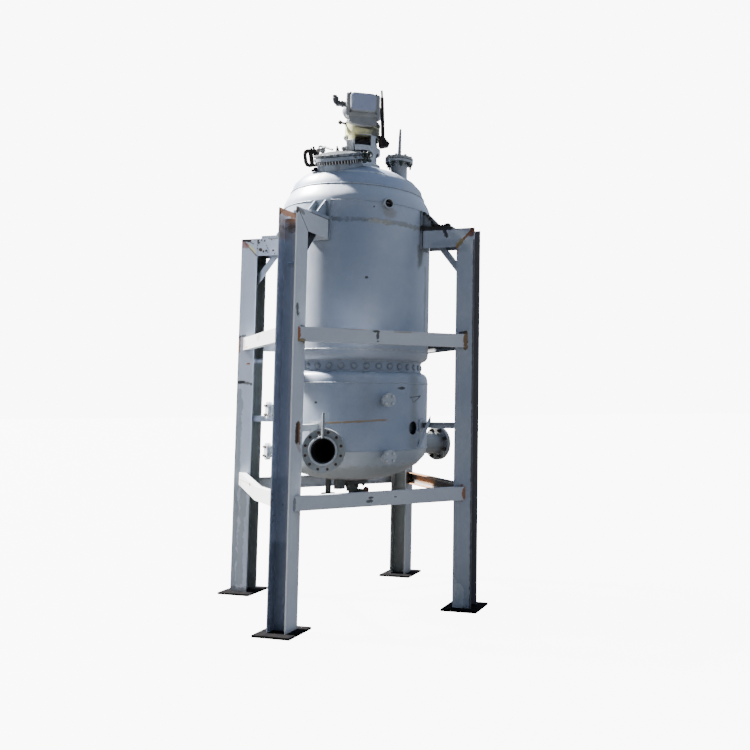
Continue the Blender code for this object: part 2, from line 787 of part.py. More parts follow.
def manway(head, face_cutter):
    """A tilted neck near the head's front edge, with a thick clamped cover."""
    x, y = MANWAY_PLACE
    reach = math.hypot(x, y)
    base_z = HEAD_Z + HEAD_RISE * math.sqrt(1 - (reach / HEAD_RADIUS) ** 2)
    lean = Vector((x / reach * math.sin(MANWAY_TILT), y / reach * math.sin(MANWAY_TILT),
                   math.cos(MANWAY_TILT)))
    middle = Vector((x, y, base_z)) + lean * MANWAY_GAP_HEIGHT
    place = frame_matrix(middle, lean)
    r, neck_r = MANWAY_RADIUS, MANWAY_NECK_R
    neck_profile = [
        (neck_r - 0.010, 0.0), (r, 0.0), (r, -0.026), (neck_r, -0.030), (neck_r, -0.280),
        (neck_r - 0.010, -0.280),
    ]
    neck = turned("manway_neck", neck_profile, place, 40, closed=True)
    cut(neck, face_cutter)
    finish(neck, PAINT)
    hole = rod("manway_hole", middle - lean * 0.28, middle, neck_r - 0.012, steps=40)
    cut_and_drop(head, hole)
    cover_profile = [
        (0.0, 0.050), (0.070, 0.048), (0.130, 0.040), (0.166, 0.028), (r - 0.006, 0.026), (r, 0.020),
        (r, 0.006), (0.184, 0.004), (0.184, GAP), (0.0, GAP),
    ]
    cover = turned("manway_cover", cover_profile, place, 40)
    across = Vector((math.cos(VIEW_TURN), math.sin(VIEW_TURN), 0.0))
    over = place @ Vector((0, 0, 0.040))
    ear_foot = over + across * 0.112
    ear = box("ear", (0.038, 0.012, 0.090), upright(ear_foot.x, ear_foot.y, ear_foot.z + 0.024, VIEW_TURN))
    ear_top = rod("ear_top", ear_foot + Vector((0.002, 0.006, 0.069)), ear_foot + Vector((-0.002, -0.006, 0.069)),
                  0.019, steps=16)
    join(cover, ear, ear_top)
    finish(cover, PAINT)


def pedestal(face_cutter):
    """A round lantern with two rows of windows; the wide windows are at its sides."""
    r = PEDESTAL_RADIUS
    profile = [
        (r - 0.014, PEDESTAL_TOP), (r, PEDESTAL_TOP), (r, 3.580), (r + 0.014, 3.566), (r + 0.014, 3.440),
        (r - 0.014, 3.440),
    ]
    centre = Matrix.Translation((DRIVE_OFFSET, 0, 0))
    lantern = turned("agitator_pedestal", profile, centre, 40, closed=True)
    for i in range(4):
        angle = DRIVE_FACING + math.pi / 2 * i
        width = 0.196 if i % 2 else 0.130
        for z, height in ((3.785, 0.088), (3.650, 0.100)):
            middle = Vector((DRIVE_OFFSET, 0, 0)) + Vector((math.cos(angle), math.sin(angle), 0)) * r
            window = box("window", (0.16, width, height), upright(middle.x, middle.y, z, angle))
            cut_and_drop(lantern, window)
    cut(lantern, face_cutter)
    finish(lantern, PAINT)
    shaft_profile = [(0.0, PEDESTAL_TOP - GAP), (0.062, PEDESTAL_TOP - GAP), (0.062, 3.742), (0.024, 3.738),
                     (0.024, 3.600), (0.055, 3.596), (0.055, 3.480), (0.0, 3.480)]
    shaft = turned("agitator_shaft", shaft_profile, centre, 20)
    cut(shaft, face_cutter)
    finish(shaft, (0.16, 0.16, 0.17), 0.4, 0.8)


def drive():
    """Cream gear housing, motor, its terminal box, conduit elbow and the black side rod."""
    centre = Matrix.Translation((DRIVE_OFFSET, 0, 0))
    bell_profile = [
        (0.0, BELL_TOP), (0.146, BELL_TOP), (0.146, 3.862), (0.142, 3.842), (0.155, 3.838),
        (0.155, PEDESTAL_TOP + GAP), (0.0, PEDESTAL_TOP + GAP),
    ]
    finish(turned("gear_housing", bell_profile, centre, 40), (0.62, 0.60, 0.46), 0.6)
    motor_profile = [
        (0.0, MOTOR_TOP), (0.080, MOTOR_TOP - 0.004), (0.130, MOTOR_TOP - 0.022), (0.160, MOTOR_TOP - 0.050),
        (0.171, MOTOR_TOP - 0.080), (0.170, 4.052), (0.156, 4.026), (0.126, 4.004), (0.124, BELL_TOP + 0.014),
        (0.150, BELL_TOP + 0.012), (0.150, BELL_TOP + GAP), (0.0, BELL_TOP + GAP),
    ]
    finish(turned("motor", motor_profile, centre, 40), (0.33, 0.37, 0.42), 0.5)

    front = Vector((math.cos(DRIVE_FACING), math.sin(DRIVE_FACING), 0.0))
    left = Vector((front.y, -front.x, 0.0))
    middle = Vector((DRIVE_OFFSET, 0, 0)) + front * 0.190 + left * 0.007
    case = box("terminal_box", (0.088, 0.274, 0.198), upright(middle.x, middle.y, BOX_Z, DRIVE_FACING), 0.012)
    lid_middle = middle + front * 0.050
    lid = box("lid", (0.026, 0.200, 0.146), upright(lid_middle.x, lid_middle.y, BOX_Z + 0.018, DRIVE_FACING),
              0.010)
    apron_outline = [(-0.112, 0.06), (-0.112, -0.052), (-0.06, -0.064), (0.0, -0.069), (0.06, -0.064),
                     (0.112, -0.050), (0.112, 0.06)]
    apron_place = Matrix((
        (-left.x, 0.0, front.x, middle.x + front.x * 0.010),
        (-left.y, 0.0, front.y, middle.y + front.y * 0.010),
        (0.0, 1.0, 0.0, BOX_Z - 0.099),
        (0.0, 0.0, 0.0, 1.0),
    ))
    apron = outlined("apron", apron_outline, 0.050, apron_place)
    throat_middle = middle - front * 0.075
    throat = box("throat", (0.12, 0.150, 0.120), upright(throat_middle.x, throat_middle.y, BOX_Z, DRIVE_FACING))
    join(case, apron, lid, throat)
    grown = [(r + GAP if r else 0.0, z) for r, z in motor_profile]
    grown[-1] = (0.0, BELL_TOP - 0.08)
    grown[-2] = (0.150 + GAP, BELL_TOP - 0.08)
    cut_and_drop(case, turned("motor_cutter", grown, centre, 40))
    finish(case, (0.36, 0.40, 0.45), 0.5)

    start = middle + left * (0.137 + GAP) + Vector((0, 0, BOX_Z + 0.006))
    corner = start + left * 0.056 + Vector((0, 0, 0.036))
    points = [start]
    for i in range(7):
        angle = math.radians(15 * i)
        points.append(corner + left * 0.036 * math.sin(angle) - Vector((0, 0, 0.036 * math.cos(angle))))
    points.append(points[-1] + Vector((0, 0, 0.030)))
    finish(tube("conduit_elbow", points, 0.0195), (0.26, 0.29, 0.32), 0.5)

    right = left * -1
    hub = Vector((DRIVE_OFFSET, 0, 3.792)) + right * 0.132
    outline = [(0.0, -0.040), (0.018, -0.044), (0.082, -0.026), (0.092, -0.006), (0.062, 0.022), (0.048, 0.045),
               (0.0, 0.050)]
    bracket_place = Matrix((
        (right.x, 0.0, front.x, hub.x + front.x * 0.075),
        (right.y, 0.0, front.y, hub.y + front.y * 0.075),
        (0.0, 1.0, 0.0, hub.z),
        (0.0, 0.0, 0.0, 1.0),
    ))
    bracket = outlined("side_rod", outline, 0.076, bracket_place)
    foot = hub + right * 0.036 + front * 0.095
    lean = right * -0.018
    pole = rod("pole", foot, foot + lean * 0.8 + Vector((0, 0, 0.385)), 0.017, 0.015)
    tip = rod("tip", foot + lean * 0.75 + Vector((0, 0, 0.37)), foot + lean + Vector((0, 0, 0.448)), 0.009)
    join(bracket, pole, tip)
    lantern = [(0.0, 4.4), (0.171 + GAP, 4.4), (0.171 + GAP, 3.980), (0.155 + GAP, 3.940), (0.155 + GAP, 3.6),
               (0.0, 3.6)]
    cut_and_drop(bracket, turned("lantern_cutter", lantern, centre, 40))
    finish(bracket, (0.03, 0.03, 0.032), 0.6)


def top_nozzle(face_cutter):
    x, y = TOP_NOZZLE_PLACE
    place = Matrix.Translation((x, y, TOP_NOZZLE_GAP_Z))
    neck = flanged_pipe("top_nozzle", place, 0.070, 0.119, 0.024, 0.30, 0.063, 0.090)
    cut(neck, face_cutter)
    finish(neck, PAINT)
    cover = turned("top_nozzle_cover", [(0.0, 0.027), (0.113, 0.027), (0.119, 0.021), (0.119, 0.003),
                                        (0.090, 0.003), (0.090, GAP), (0.0, GAP)], place)
    join(cover, rod("pole", (x, y, TOP_NOZZLE_GAP_Z + 0.02), (x + 0.006, y, TOP_NOZZLE_GAP_Z + 0.282),
                    0.0165, 0.0100))
    finish(cover, PAINT)


def build():
    head = top_head()
    vessel, knuckle, inner_bowl = inner_vessel()
    upper, lower, bottom = jackets()
    outside = jacket_cutter()
    crown = head_cutter()
    vessel_face = vessel_cutter()
    for place, angle in LEGS.items():
        leg(place, angle)
        base_plate(place, angle)
        stay(place, angle, outside)
        lug(place, angle, outside)
    sides = (("front", 0), ("right", 90), ("rear", 180), ("left", 270))
    for name, turn in sides:
        ring_beam("mid_beam_" + name, MID_BEAM_Z, math.radians(turn))
        if name == "left":
            bent_beam("low_beam_" + name, math.radians(turn))
        else:
            ring_beam("low_beam_" + name, LOW_BEAM_Z, math.radians(turn))
    main_nozzle(knuckle, lower, bottom, vessel_face)
    side_nozzle(outside)
    small_nozzles(outside)
    upper_stub(outside)
    bottom_gear(bottom, outside)
    manway(head, crown)
    pedestal(crown)
    drive()
    top_nozzle(crown)
    for shell in (head, vessel, knuckle, inner_bowl, upper, lower, bottom):
        finish(shell, PAINT)
    for cutter in (outside, crown, vessel_face):
        bpy.data.objects.remove(cutter, do_unlink=True)


build()
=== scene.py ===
"""Jacketed stirred tank on a steel frame: weathered paint, rust, welds, bolts and small gear.

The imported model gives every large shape. This script finishes its parts and adds the pieces
that are too fine for it, with one operator for each group of like pieces and one for the stage.
"""

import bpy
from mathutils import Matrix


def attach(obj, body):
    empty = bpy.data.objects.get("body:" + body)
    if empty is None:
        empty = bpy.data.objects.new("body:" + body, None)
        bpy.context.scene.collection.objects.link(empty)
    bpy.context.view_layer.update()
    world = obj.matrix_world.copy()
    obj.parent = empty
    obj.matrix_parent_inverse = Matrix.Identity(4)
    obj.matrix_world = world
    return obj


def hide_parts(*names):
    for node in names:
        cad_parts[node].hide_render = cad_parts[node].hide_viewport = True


bl_info = {
    "name": "Stirred tank finish",
    "version": (1, 0, 0),
    "blender": (4, 5, 0),
    "location": "3D View > Sidebar > Tank",
    "description": "Weathered paint, welds, bolts, clamps and a studio for a stirred tank on its frame",
    "category": "Object",
}

from math import atan2, cos, pi, radians, sin, sqrt

import bmesh
import bpy
from bpy.props import FloatProperty, FloatVectorProperty, IntProperty, PointerProperty
from mathutils import Matrix, Vector

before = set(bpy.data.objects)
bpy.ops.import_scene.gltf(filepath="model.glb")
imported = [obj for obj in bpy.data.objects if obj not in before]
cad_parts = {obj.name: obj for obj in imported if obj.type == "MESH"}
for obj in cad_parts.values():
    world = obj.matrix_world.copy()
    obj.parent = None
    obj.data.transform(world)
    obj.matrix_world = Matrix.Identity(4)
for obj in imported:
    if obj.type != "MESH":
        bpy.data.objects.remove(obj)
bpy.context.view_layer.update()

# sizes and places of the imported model: metres, and degrees for azimuths, in places as (azimuth, height)

UP = Vector((0.0, 0.0, 1.0))
ACROSS = Vector((cos(radians(-17.6)), sin(radians(-17.6)), 0.0))
NEAR = Vector((ACROSS.y, -ACROSS.x, 0.0))
JACKET_RADIUS = 0.604
NECK_RADIUS = 0.5453
SHELL_WALL = 0.008
WAVY_FROM = 0.5985
TURN_STEPS = 180
HEAD_RADIUS = 0.545
HEAD_RISE = 0.25
HEAD_Z = 3.31
MAIN_NOZZLE = (-124, 1.247)
MAIN_FACE = 0.76
OPEN_HOLE = (-57.5, 1.398)
STUB = (-86, 3.15)
TOP_NOZZLE = (0.316, -0.106)
DRIVE_X = 0.02
DRIVE_FACING = -105
POST_SIDE = 0.076
LEG_PLACES = {"front_left": -135, "front_right": -45, "rear_right": 45, "rear_left": 135}
MANWAY_LEAN = Vector((-0.22247, -0.22625, 0.94832))
MANWAY_MIDDLE = Vector((-0.25068, -0.25493, 3.56919))
MANWAY_RIM = 0.196
FLIP = Matrix.Rotation(pi, 4, "X")


# settings

def length(name, default, description):
    return FloatProperty(name=name, default=default, description=description, min=0.0, unit="LENGTH")


def colour(name, default, description):
    return FloatVectorProperty(name=name, default=default, description=description, size=3,
                               subtype="COLOR", min=0.0, max=1.0)


def amount(name, default, description):
    return FloatProperty(name=name, default=default, description=description, min=0.0)


def angle(name, default, description):
    return FloatProperty(name=name, default=radians(default), description=description, subtype="ANGLE")


class TankPaint(bpy.types.PropertyGroup):
    shell: colour("Shell paint", (0.32, 0.38, 0.48), "Paint of the jackets and heads")
    steelwork: colour("Frame paint", (0.44, 0.475, 0.53), "Paint of the posts, beams and lugs")
    fitting: colour("Fitting paint", (0.4, 0.44, 0.49), "Paint of the nozzles and flanges")
    cream: colour("Gear housing paint", (0.68, 0.67, 0.4), "Cream enamel of the gear housing")
    lid: colour("Lid paint", (0.38, 0.42, 0.59), "Enamel of the terminal box lid")
    casing: colour("Motor paint", (0.3, 0.325, 0.38), "Enamel of the motor and its box")
    # this colour is both dirt and the painted shade laid in corners, recesses and shadowed places
    soot: colour("Old dirt", (0.055, 0.056, 0.052), "Dark dirt that sits in corners and runs down")
    chalk: colour("Chalky paint", (0.64, 0.66, 0.68), "Paint that has faded pale")
    rust: colour("Rust", (0.33, 0.11, 0.03), "Fresh orange rust")
    old_rust: colour("Old rust", (0.06, 0.026, 0.014), "Dark brown rust")
    gloss: FloatProperty(name="Paint roughness", default=0.42, description="How matt the paint is",
                         min=0.0, max=1.0, subtype="FACTOR")


class TankFittings(bpy.types.PropertyGroup):
    stud_count: IntProperty(name="Neck studs", default=36, min=3, max=90,
                            description="Round studs in the row on the neck")
    stud_z: length("Neck stud height", 1.882, "Height of the row of studs")
    stud_radius: length("Neck stud radius", 0.021, "Half the width of one stud")
    weld_radius: length("Weld width", 0.0055, "Half the width of a weld bead")
    nut_width: length("Nut width", 0.024, "Width across the flats of the common nut")


class TankStudio(bpy.types.PropertyGroup):
    floor: colour("Floor", (0.027, 0.027, 0.027), "Pale floor")
    sky: colour("Fill light", (0.5, 0.69, 1.0), "Cool soft light from all round")
    bright_sky: colour("Side light", (0.72, 0.83, 1.0), "Soft light from the tank's right")
    sky_power: amount("Fill strength", 0.56, "Strength of the fill light")
    sky_lean: amount("Fill lean", 0.92, "How much stronger the light is from the right")
    sun_power: amount("Key strength", 44.0, "Strength of the key light")
    sun_turn: angle("Key direction", 137, "Direction that the key light comes from")
    sun_height: angle("Key height", 46, "Angle of the key light above the floor")
    backdrop: amount("Backdrop", 9.0, "Brightness of the pale backdrop")
    lens: amount("Lens", 38.85, "Focal length on a 36 mm sensor")


# shader nodes

def add(tree, kind, inputs, **settings):
    """A node with its settings, and each input set to a value or joined to a socket."""
    made = tree.nodes.new(kind)
    for name, value in settings.items():
        setattr(made, name, value)
    for key, value in inputs.items():
        if isinstance(value, bpy.types.NodeSocket):
            tree.links.new(value, made.inputs[key])
        elif made.inputs[key].type == "RGBA":
            made.inputs[key].default_value = (*value[:3], 1.0)
        else:
            made.inputs[key].default_value = value
    return made


def calc(tree, operation, *values, **settings):
    return add(tree, "ShaderNodeMath", dict(enumerate(values)), operation=operation, **settings).outputs[0]


def product(tree, first, second):
    return calc(tree, "MULTIPLY", first, second)


def vector(tree, operation, *values, **named):
    made = add(tree, "ShaderNodeVectorMath", {**dict(enumerate(values)), **named}, operation=operation)
    return made.outputs["Value" if operation in ("LENGTH", "DOT_PRODUCT") else "Vector"]


def step(tree, value, low, high, to_low=0.0, to_high=1.0):
    """A smooth rise of value from low to high."""
    ends = {"Value": value, "From Min": low, "From Max": high, "To Min": to_low, "To Max": to_high}
    return add(tree, "ShaderNodeMapRange", ends, interpolation_type="SMOOTHSTEP").outputs[0]


def blend_colour(tree, share, below, above):
    return add(tree, "ShaderNodeMix", {0: share, 6: below, 7: above}, data_type="RGBA").outputs[2]


def blend_value(tree, share, below, above):
    return add(tree, "ShaderNodeMix", {0: share, 2: below, 3: above}, data_type="FLOAT").outputs[0]


def cloud(tree, place, scale, detail=3.0, roughness=0.55):
    noise = {"Vector": place, "Scale": scale, "Detail": detail, "Roughness": roughness}
    return add(tree, "ShaderNodeTexNoise", noise).outputs["Fac"]


def use(tree, group, **inputs):
    return add(tree, "ShaderNodeGroup", inputs, node_tree=bpy.data.node_groups[group]).outputs


def new_group(name, outputs, **inputs):
    """An empty shader group; each input's kind follows from its default."""
    tree = bpy.data.node_groups.new(name, "ShaderNodeTree")
    for label, default in {"Vector": (0.0, 0.0, 0.0), **inputs}.items():
        kind = "Float" if isinstance(default, float) else {3: "Vector", 4: "Color"}[len(default)]
        socket = tree.interface.new_socket(label, in_out="INPUT", socket_type="NodeSocket" + kind)
        socket.default_value = default
    for label in outputs:
        kind = "Color" if label == "Color" else "Float"
        tree.interface.new_socket(label, in_out="OUTPUT", socket_type="NodeSocket" + kind)
    return tree, tree.nodes.new("NodeGroupInput").outputs, tree.nodes.new("NodeGroupOutput").inputs


def make_patches():
    """Ragged patches: noise cut off at a level."""
    tree, given, result = new_group("ragged_patches", ["Mask"], Scale=4.0, Cover=0.3, Softness=0.05)
    broad = cloud(tree, given["Vector"], given["Scale"], 6.0, 0.68)
    level = calc(tree, "SUBTRACT", 0.72, product(tree, given["Cover"], 0.5))
    tree.links.new(step(tree, broad, level, calc(tree, "ADD", level, given["Softness"])), result[0])


def make_runs():
    """Dirt that has run down: narrow across, long in height, fading in places."""
    tree, given, result = new_group("vertical_runs", ["Mask"], Spacing=14.0, Cover=0.3)
    thin = add(tree, "ShaderNodeMapping", {"Vector": given["Vector"], "Scale": (1.0, 1.0, 0.055)}).outputs[0]
    level = calc(tree, "SUBTRACT", 0.7, product(tree, given["Cover"], 0.4))
    mask = step(tree, cloud(tree, thin, given["Spacing"], 4.0, 0.6), level, calc(tree, "ADD", level, 0.16))
    fading = step(tree, cloud(tree, given["Vector"], 2.3, 2.0, 0.5), 0.38, 0.62)
    tree.links.new(product(tree, mask, fading), result[0])


def roughness_of(tree, given, grain, detail, harshness, share=1.0):
    """Noise about zero that makes the edge of a stain ragged."""
    noise = calc(tree, "SUBTRACT", cloud(tree, given["Vector"], grain, detail, harshness), 0.5)
    return product(tree, product(tree, noise, given["Wobble"]), share)


def make_band():
    """A stain along part of a ring round the tank's axis, level or sloping, with a rough edge."""
    tree, given, result = new_group("ring_stain", ["Mask"], Azimuth=0.0, Reach=0.5, Height=2.0, Width=0.02,
                                    Slope=0.0, Wobble=0.3)
    parts = add(tree, "ShaderNodeSeparateXYZ", {0: given["Vector"]}).outputs
    turn = calc(tree, "SUBTRACT", calc(tree, "ARCTAN2", parts[1], parts[0]), given["Azimuth"])
    offset = calc(tree, "WRAP", turn, pi, -pi)
    rough = roughness_of(tree, given, 26.0, 5.0, 0.65)
    along = calc(tree, "DIVIDE", calc(tree, "ABSOLUTE", offset), given["Reach"])
    centre = calc(tree, "ADD", given["Height"], product(tree, offset, given["Slope"]))
    rise = calc(tree, "DIVIDE", calc(tree, "SUBTRACT", parts[2], centre), given["Width"])
    ends = step(tree, calc(tree, "ADD", along, rough), 0.72, 1.0, 1.0, 0.0)
    over = calc(tree, "ADD", calc(tree, "ABSOLUTE", rise), product(tree, rough, 2.4))
    tree.links.new(product(tree, ends, step(tree, over, 0.45, 1.0, 1.0, 0.0)), result[0])


def fade_out(tree, given, reach, share, result):
    """End a stain where its distance, roughened by noise, comes to one."""
    level = calc(tree, "ADD", reach, roughness_of(tree, given, given["Grain"], 5.0, 0.7, share))
    low = calc(tree, "SUBTRACT", 1.0, given["Softness"])
    tree.links.new(step(tree, level, low, 1.0, 1.0, 0.0), result[0])


def make_spot():
    """A ragged spot round one point, stretched by its size along each axis."""
    tree, given, result = new_group("ragged_spot", ["Mask"], Centre=(0.0, 0.0, 0.0), Size=(0.05, 0.05, 0.05),
                                    Wobble=0.8, Softness=0.3, Grain=40.0)
    away = vector(tree, "SUBTRACT", given["Vector"], given["Centre"])
    fade_out(tree, given, vector(tree, "LENGTH", vector(tree, "DIVIDE", away, given["Size"])), 1.0, result)


def make_line():
    """A ragged streak along the straight line between two points."""
    tree, given, result = new_group("ragged_line", ["Mask"], From=(0.0, 0.0, 0.0), To=(0.0, 0.0, 1.0),
                                    Width=0.01, Wobble=0.8, Softness=0.3, Grain=40.0)
    away = vector(tree, "SUBTRACT", given["Vector"], given["From"])
    along = vector(tree, "SUBTRACT", given["To"], given["From"])
    square = vector(tree, "DOT_PRODUCT", along, along)
    share = calc(tree, "DIVIDE", vector(tree, "DOT_PRODUCT", away, along), square, use_clamp=True)
    nearest = vector(tree, "SCALE", along, Scale=share)
    reach = vector(tree, "LENGTH", vector(tree, "SUBTRACT", away, nearest))
    fade_out(tree, given, calc(tree, "DIVIDE", reach, given["Width"]), 2.0, result)


def make_skin():
    """Brushed paint: slow shade changes, orange peel, specks, painted shade that darkens corners and
    recesses, and an uneven gloss.
    """
    tree, given, result = new_group(
        "brushed_paint", ["Color", "Roughness", "Height"], Paint=(0.5, 0.5, 0.5, 1.0),
        Faded=(0.7, 0.7, 0.7, 1.0), Dirt=(0.05, 0.05, 0.05, 1.0), Fading=0.3, Amount=0.3, Gloss=0.4)
    place = given["Vector"]
    slow = step(tree, cloud(tree, place, 1.7, 3.0, 0.5), 0.35, 0.68)
    mottle = step(tree, cloud(tree, place, 7.5, 5.0, 0.62), 0.3, 0.74)
    fade = calc(tree, "ADD", product(tree, slow, 0.6), product(tree, mottle, 0.4))
    base = blend_colour(tree, product(tree, fade, given["Fading"]), given["Paint"], given["Faded"])
    specks = product(tree, step(tree, cloud(tree, place, 130.0, 2.0, 0.5), 0.69, 0.74), 0.7)
    smear = product(tree, step(tree, cloud(tree, place, 16.0, 6.0, 0.7), 0.56, 0.8), 0.55)
    dirt = product(tree, calc(tree, "MAXIMUM", specks, smear), given["Amount"])
    dirty = blend_colour(tree, dirt, base, given["Dirt"])
    # painted shade: ambient occlusion darkens corners, creases and recesses towards the dirt colour
    corner = add(tree, "ShaderNodeAmbientOcclusion", {"Distance": 0.1}, samples=4).outputs["AO"]
    painted_corner_shade = step(tree, corner, 0.75, 0.3, 0.0, 0.75)
    tree.links.new(blend_colour(tree, painted_corner_shade, dirty, given["Dirt"]), result["Color"])
    uneven = product(tree, calc(tree, "SUBTRACT", mottle, 0.4), 0.18)
    tree.links.new(calc(tree, "ADD", given["Gloss"], uneven), result["Roughness"])
    peel = product(tree, cloud(tree, place, 240.0, 2.0, 0.5), 0.25)
    dents = product(tree, cloud(tree, place, 9.0, 2.0, 0.4), 0.75)
    tree.links.new(calc(tree, "ADD", peel, dents), result["Height"])


def make_rust():
    """Rust colours: orange bloom over brown scale."""
    tree, given, result = new_group("rust_colour", ["Color"], Fresh=(0.3, 0.1, 0.03, 1.0),
                                    Old=(0.06, 0.03, 0.015, 1.0), Age=0.5)
    grain = cloud(tree, given["Vector"], 75.0, 6.0, 0.72)
    level = calc(tree, "ADD", grain, calc(tree, "SUBTRACT", given["Age"], 0.5))
    tree.links.new(blend_colour(tree, step(tree, level, 0.4, 0.62), given["Fresh"], given["Old"]), result[0])


def new_material(name, **settings):
    """A material with its surface shader and the place on the object, ready for its colour."""
    made = bpy.data.materials.new(name)
    made.use_nodes = True
    shader = made.node_tree.nodes["Principled BSDF"]
    for label, value in settings.items():
        shader.inputs[label.replace("_", " ")].default_value = value
    place = made.node_tree.nodes.new("ShaderNodeTexCoord").outputs["Object"]
    return made, made.node_tree, shader, place


def finish_surface(tree, shader, base, rough, height, depth, distance):
    bump = add(tree, "ShaderNodeBump", {"Strength": depth, "Distance": distance, "Height": height})
    for value, label in ((base, "Base Color"), (rough, "Roughness"), (bump.outputs[0], "Normal")):
        tree.links.new(value, shader.inputs[label])


def painted(name, shade, tint=(1, 1, 1), fading=0.3, dirt=0.3, runs=0.0, rust=0.0, age=0.5, stains=(),
            rough=None, depth=0.35, shine=0.5):
    """Weathered paint. A shade is a colour or a setting's name; the stains, among them painted light and
    shade, lie over the paint in order.
    """
    paint = bpy.context.scene.tank_paint
    made, tree, shader, place = new_material(name, Specular_IOR_Level=shine)
    shade = getattr(paint, shade) if isinstance(shade, str) else shade
    skin = use(tree, "brushed_paint", Vector=place, Paint=[part * by for part, by in zip(shade, tint)],
               Faded=paint.chalk, Dirt=paint.soot, Fading=fading, Amount=dirt, Gloss=rough or paint.gloss)
    tone, gloss = skin["Color"], skin["Roughness"]
    if runs:
        run = use(tree, "vertical_runs", Vector=place, Spacing=15.0, Cover=runs)[0]
        tone = blend_colour(tree, product(tree, run, 0.5), tone, paint.soot)
    scale = use(tree, "rust_colour", Vector=place, Fresh=paint.rust, Old=paint.old_rust, Age=age)[0]
    if rust:
        patch = use(tree, "ragged_patches", Vector=place, Scale=9.0, Cover=rust, Softness=0.03)[0]
        tone = blend_colour(tree, patch, tone, scale)
        gloss = blend_value(tree, patch, gloss, 0.85)
    for kind, shape, over, strength in stains:
        if isinstance(over, str):
            over = scale if over == "scale" else getattr(paint, over)
        mask = product(tree, use(tree, kind, Vector=place, **shape)[0], strength)
        tone = blend_colour(tree, mask, tone, over)
        gloss = blend_value(tree, mask, gloss, 0.8)
    finish_surface(tree, shader, tone, gloss, skin["Height"], depth, 0.004)
    return made


def metal(name, shade, dark, rough=0.5, metallic=0.6, wear=0.4, shine=0.5):
    """Bare or blackened steel with dull patches."""
    made, tree, shader, place = new_material(name, Metallic=metallic, Specular_IOR_Level=shine)
    patch = use(tree, "ragged_patches", Vector=place, Scale=30.0, Cover=0.4 + wear * 0.6, Softness=0.2)[0]
    gloss = step(tree, cloud(tree, place, 60.0, 4.0, 0.6), 0.3, 0.7, rough - 0.08, min(rough + 0.15, 1.0))
    finish_surface(tree, shader, blend_colour(tree, patch, shade, dark), gloss,
                   cloud(tree, place, 180.0, 3.0, 0.6), 0.4, 0.002)
    return made


# geometry nodes

def new_tree(name, **inputs):
    """A geometry tree with named inputs; returns it with its input sockets."""
    tree = bpy.data.node_groups.new(name, "GeometryNodeTree")
    for label, kind in {"Geometry": "Geometry", **inputs, "Finish": "Material"}.items():
        tree.interface.new_socket(label, in_out="INPUT", socket_type="NodeSocket" + kind)
    tree.interface.new_socket("Geometry", in_out="OUTPUT", socket_type="NodeSocketGeometry")
    return tree, tree.nodes.new("NodeGroupInput").outputs


def end_tree(tree, given, shape):
    """Make the result real and give it its finish."""
    real = add(tree, "GeometryNodeRealizeInstances", {"Geometry": shape})
    done = add(tree, "GeometryNodeSetMaterial", {"Geometry": real.outputs[0], "Material": given["Finish"]})
    tree.links.new(done.outputs[0], tree.nodes.new("NodeGroupOutput").inputs[0])


def make_ring_tree():
    """Copies of the given shape, turned step by step about the Z axis."""
    tree, given = new_tree("repeat_round", Count="Int", Start="Float", Step="Float")
    line = add(tree, "GeometryNodeMeshLine", {"Count": given["Count"], "Offset": (0.0, 0.0, 0.0)})
    index = tree.nodes.new("GeometryNodeInputIndex").outputs[0]
    turn = calc(tree, "ADD", given["Start"], product(tree, index, given["Step"]))
    angles = add(tree, "ShaderNodeCombineXYZ", {2: turn})
    copies = add(tree, "GeometryNodeInstanceOnPoints",
                 {"Points": line.outputs[0], "Instance": given["Geometry"], "Rotation": angles.outputs[0]})
    end_tree(tree, given, copies.outputs[0])


def make_bead_tree():
    """A weld bead along the given curve: uneven in width, with a small sideways wander."""
    tree, given = new_tree("weld_bead", Radius="Float", Spacing="Float", Unevenness="Float")
    points = add(tree, "GeometryNodeResampleCurve", {"Curve": given["Geometry"], "Length": given["Spacing"]},
                 mode="LENGTH")
    noise = add(tree, "ShaderNodeTexNoise", {"Scale": 55.0, "Detail": 2.0}).outputs["Color"]
    drift = vector(tree, "SCALE", vector(tree, "SUBTRACT", noise, (0.5, 0.5, 0.5)),
                   Scale=product(tree, given["Radius"], given["Unevenness"]))
    moved = add(tree, "GeometryNodeSetPosition", {"Geometry": points.outputs[0], "Offset": drift})
    grain = add(tree, "ShaderNodeTexNoise", {"Scale": 90.0, "Detail": 1.0}).outputs["Fac"]
    swell = step(tree, grain, 0.3, 0.7, 0.75, 1.2)
    wide = add(tree, "GeometryNodeSetCurveRadius", {"Curve": moved.outputs[0], "Radius": swell})
    ring = add(tree, "GeometryNodeCurvePrimitiveCircle", {"Resolution": 6, "Radius": given["Radius"]})
    body = add(tree, "GeometryNodeCurveToMesh", {"Curve": wide.outputs[0], "Profile Curve": ring.outputs[0],
                                                 "Fill Caps": True, "Scale": swell})
    end_tree(tree, given, add(tree, "GeometryNodeSetShadeSmooth", {"Geometry": body.outputs[0]}).outputs[0])


def grow(name, source, tree, slot, place=None, **values):
    """Run a geometry tree on the source object and keep its result as a plain mesh piece."""
    modifier = source.modifiers.new("tree", "NODES")
    modifier.node_group = bpy.data.node_groups[tree]
    for item in modifier.node_group.interface.items_tree:
        if item.in_out == "INPUT" and item.name in values:
            modifier[item.identifier] = values[item.name]
    bpy.context.view_layer.update()
    mesh = bpy.data.meshes.new_from_object(source.evaluated_get(bpy.context.evaluated_depsgraph_get()))
    mesh.name = name
    if place is not None:
        mesh.transform(place)
    bpy.data.objects.remove(source, do_unlink=True)
    keep(link_object(name, mesh), slot)


# mesh tools

def link_object(name, data, finish=None):
    if finish:
        data.materials.append(finish)
    made = bpy.data.objects.new(name, data)
    bpy.context.scene.collection.objects.link(made)
    return made


def new_object(shape, name, finish=None):
    """Turn a bmesh into an object at the origin, with its faces out."""
    bmesh.ops.recalc_face_normals(shape, faces=shape.faces)
    mesh = bpy.data.meshes.new(name)
    shape.to_mesh(mesh)
    shape.free()
    return link_object(name, mesh, finish)


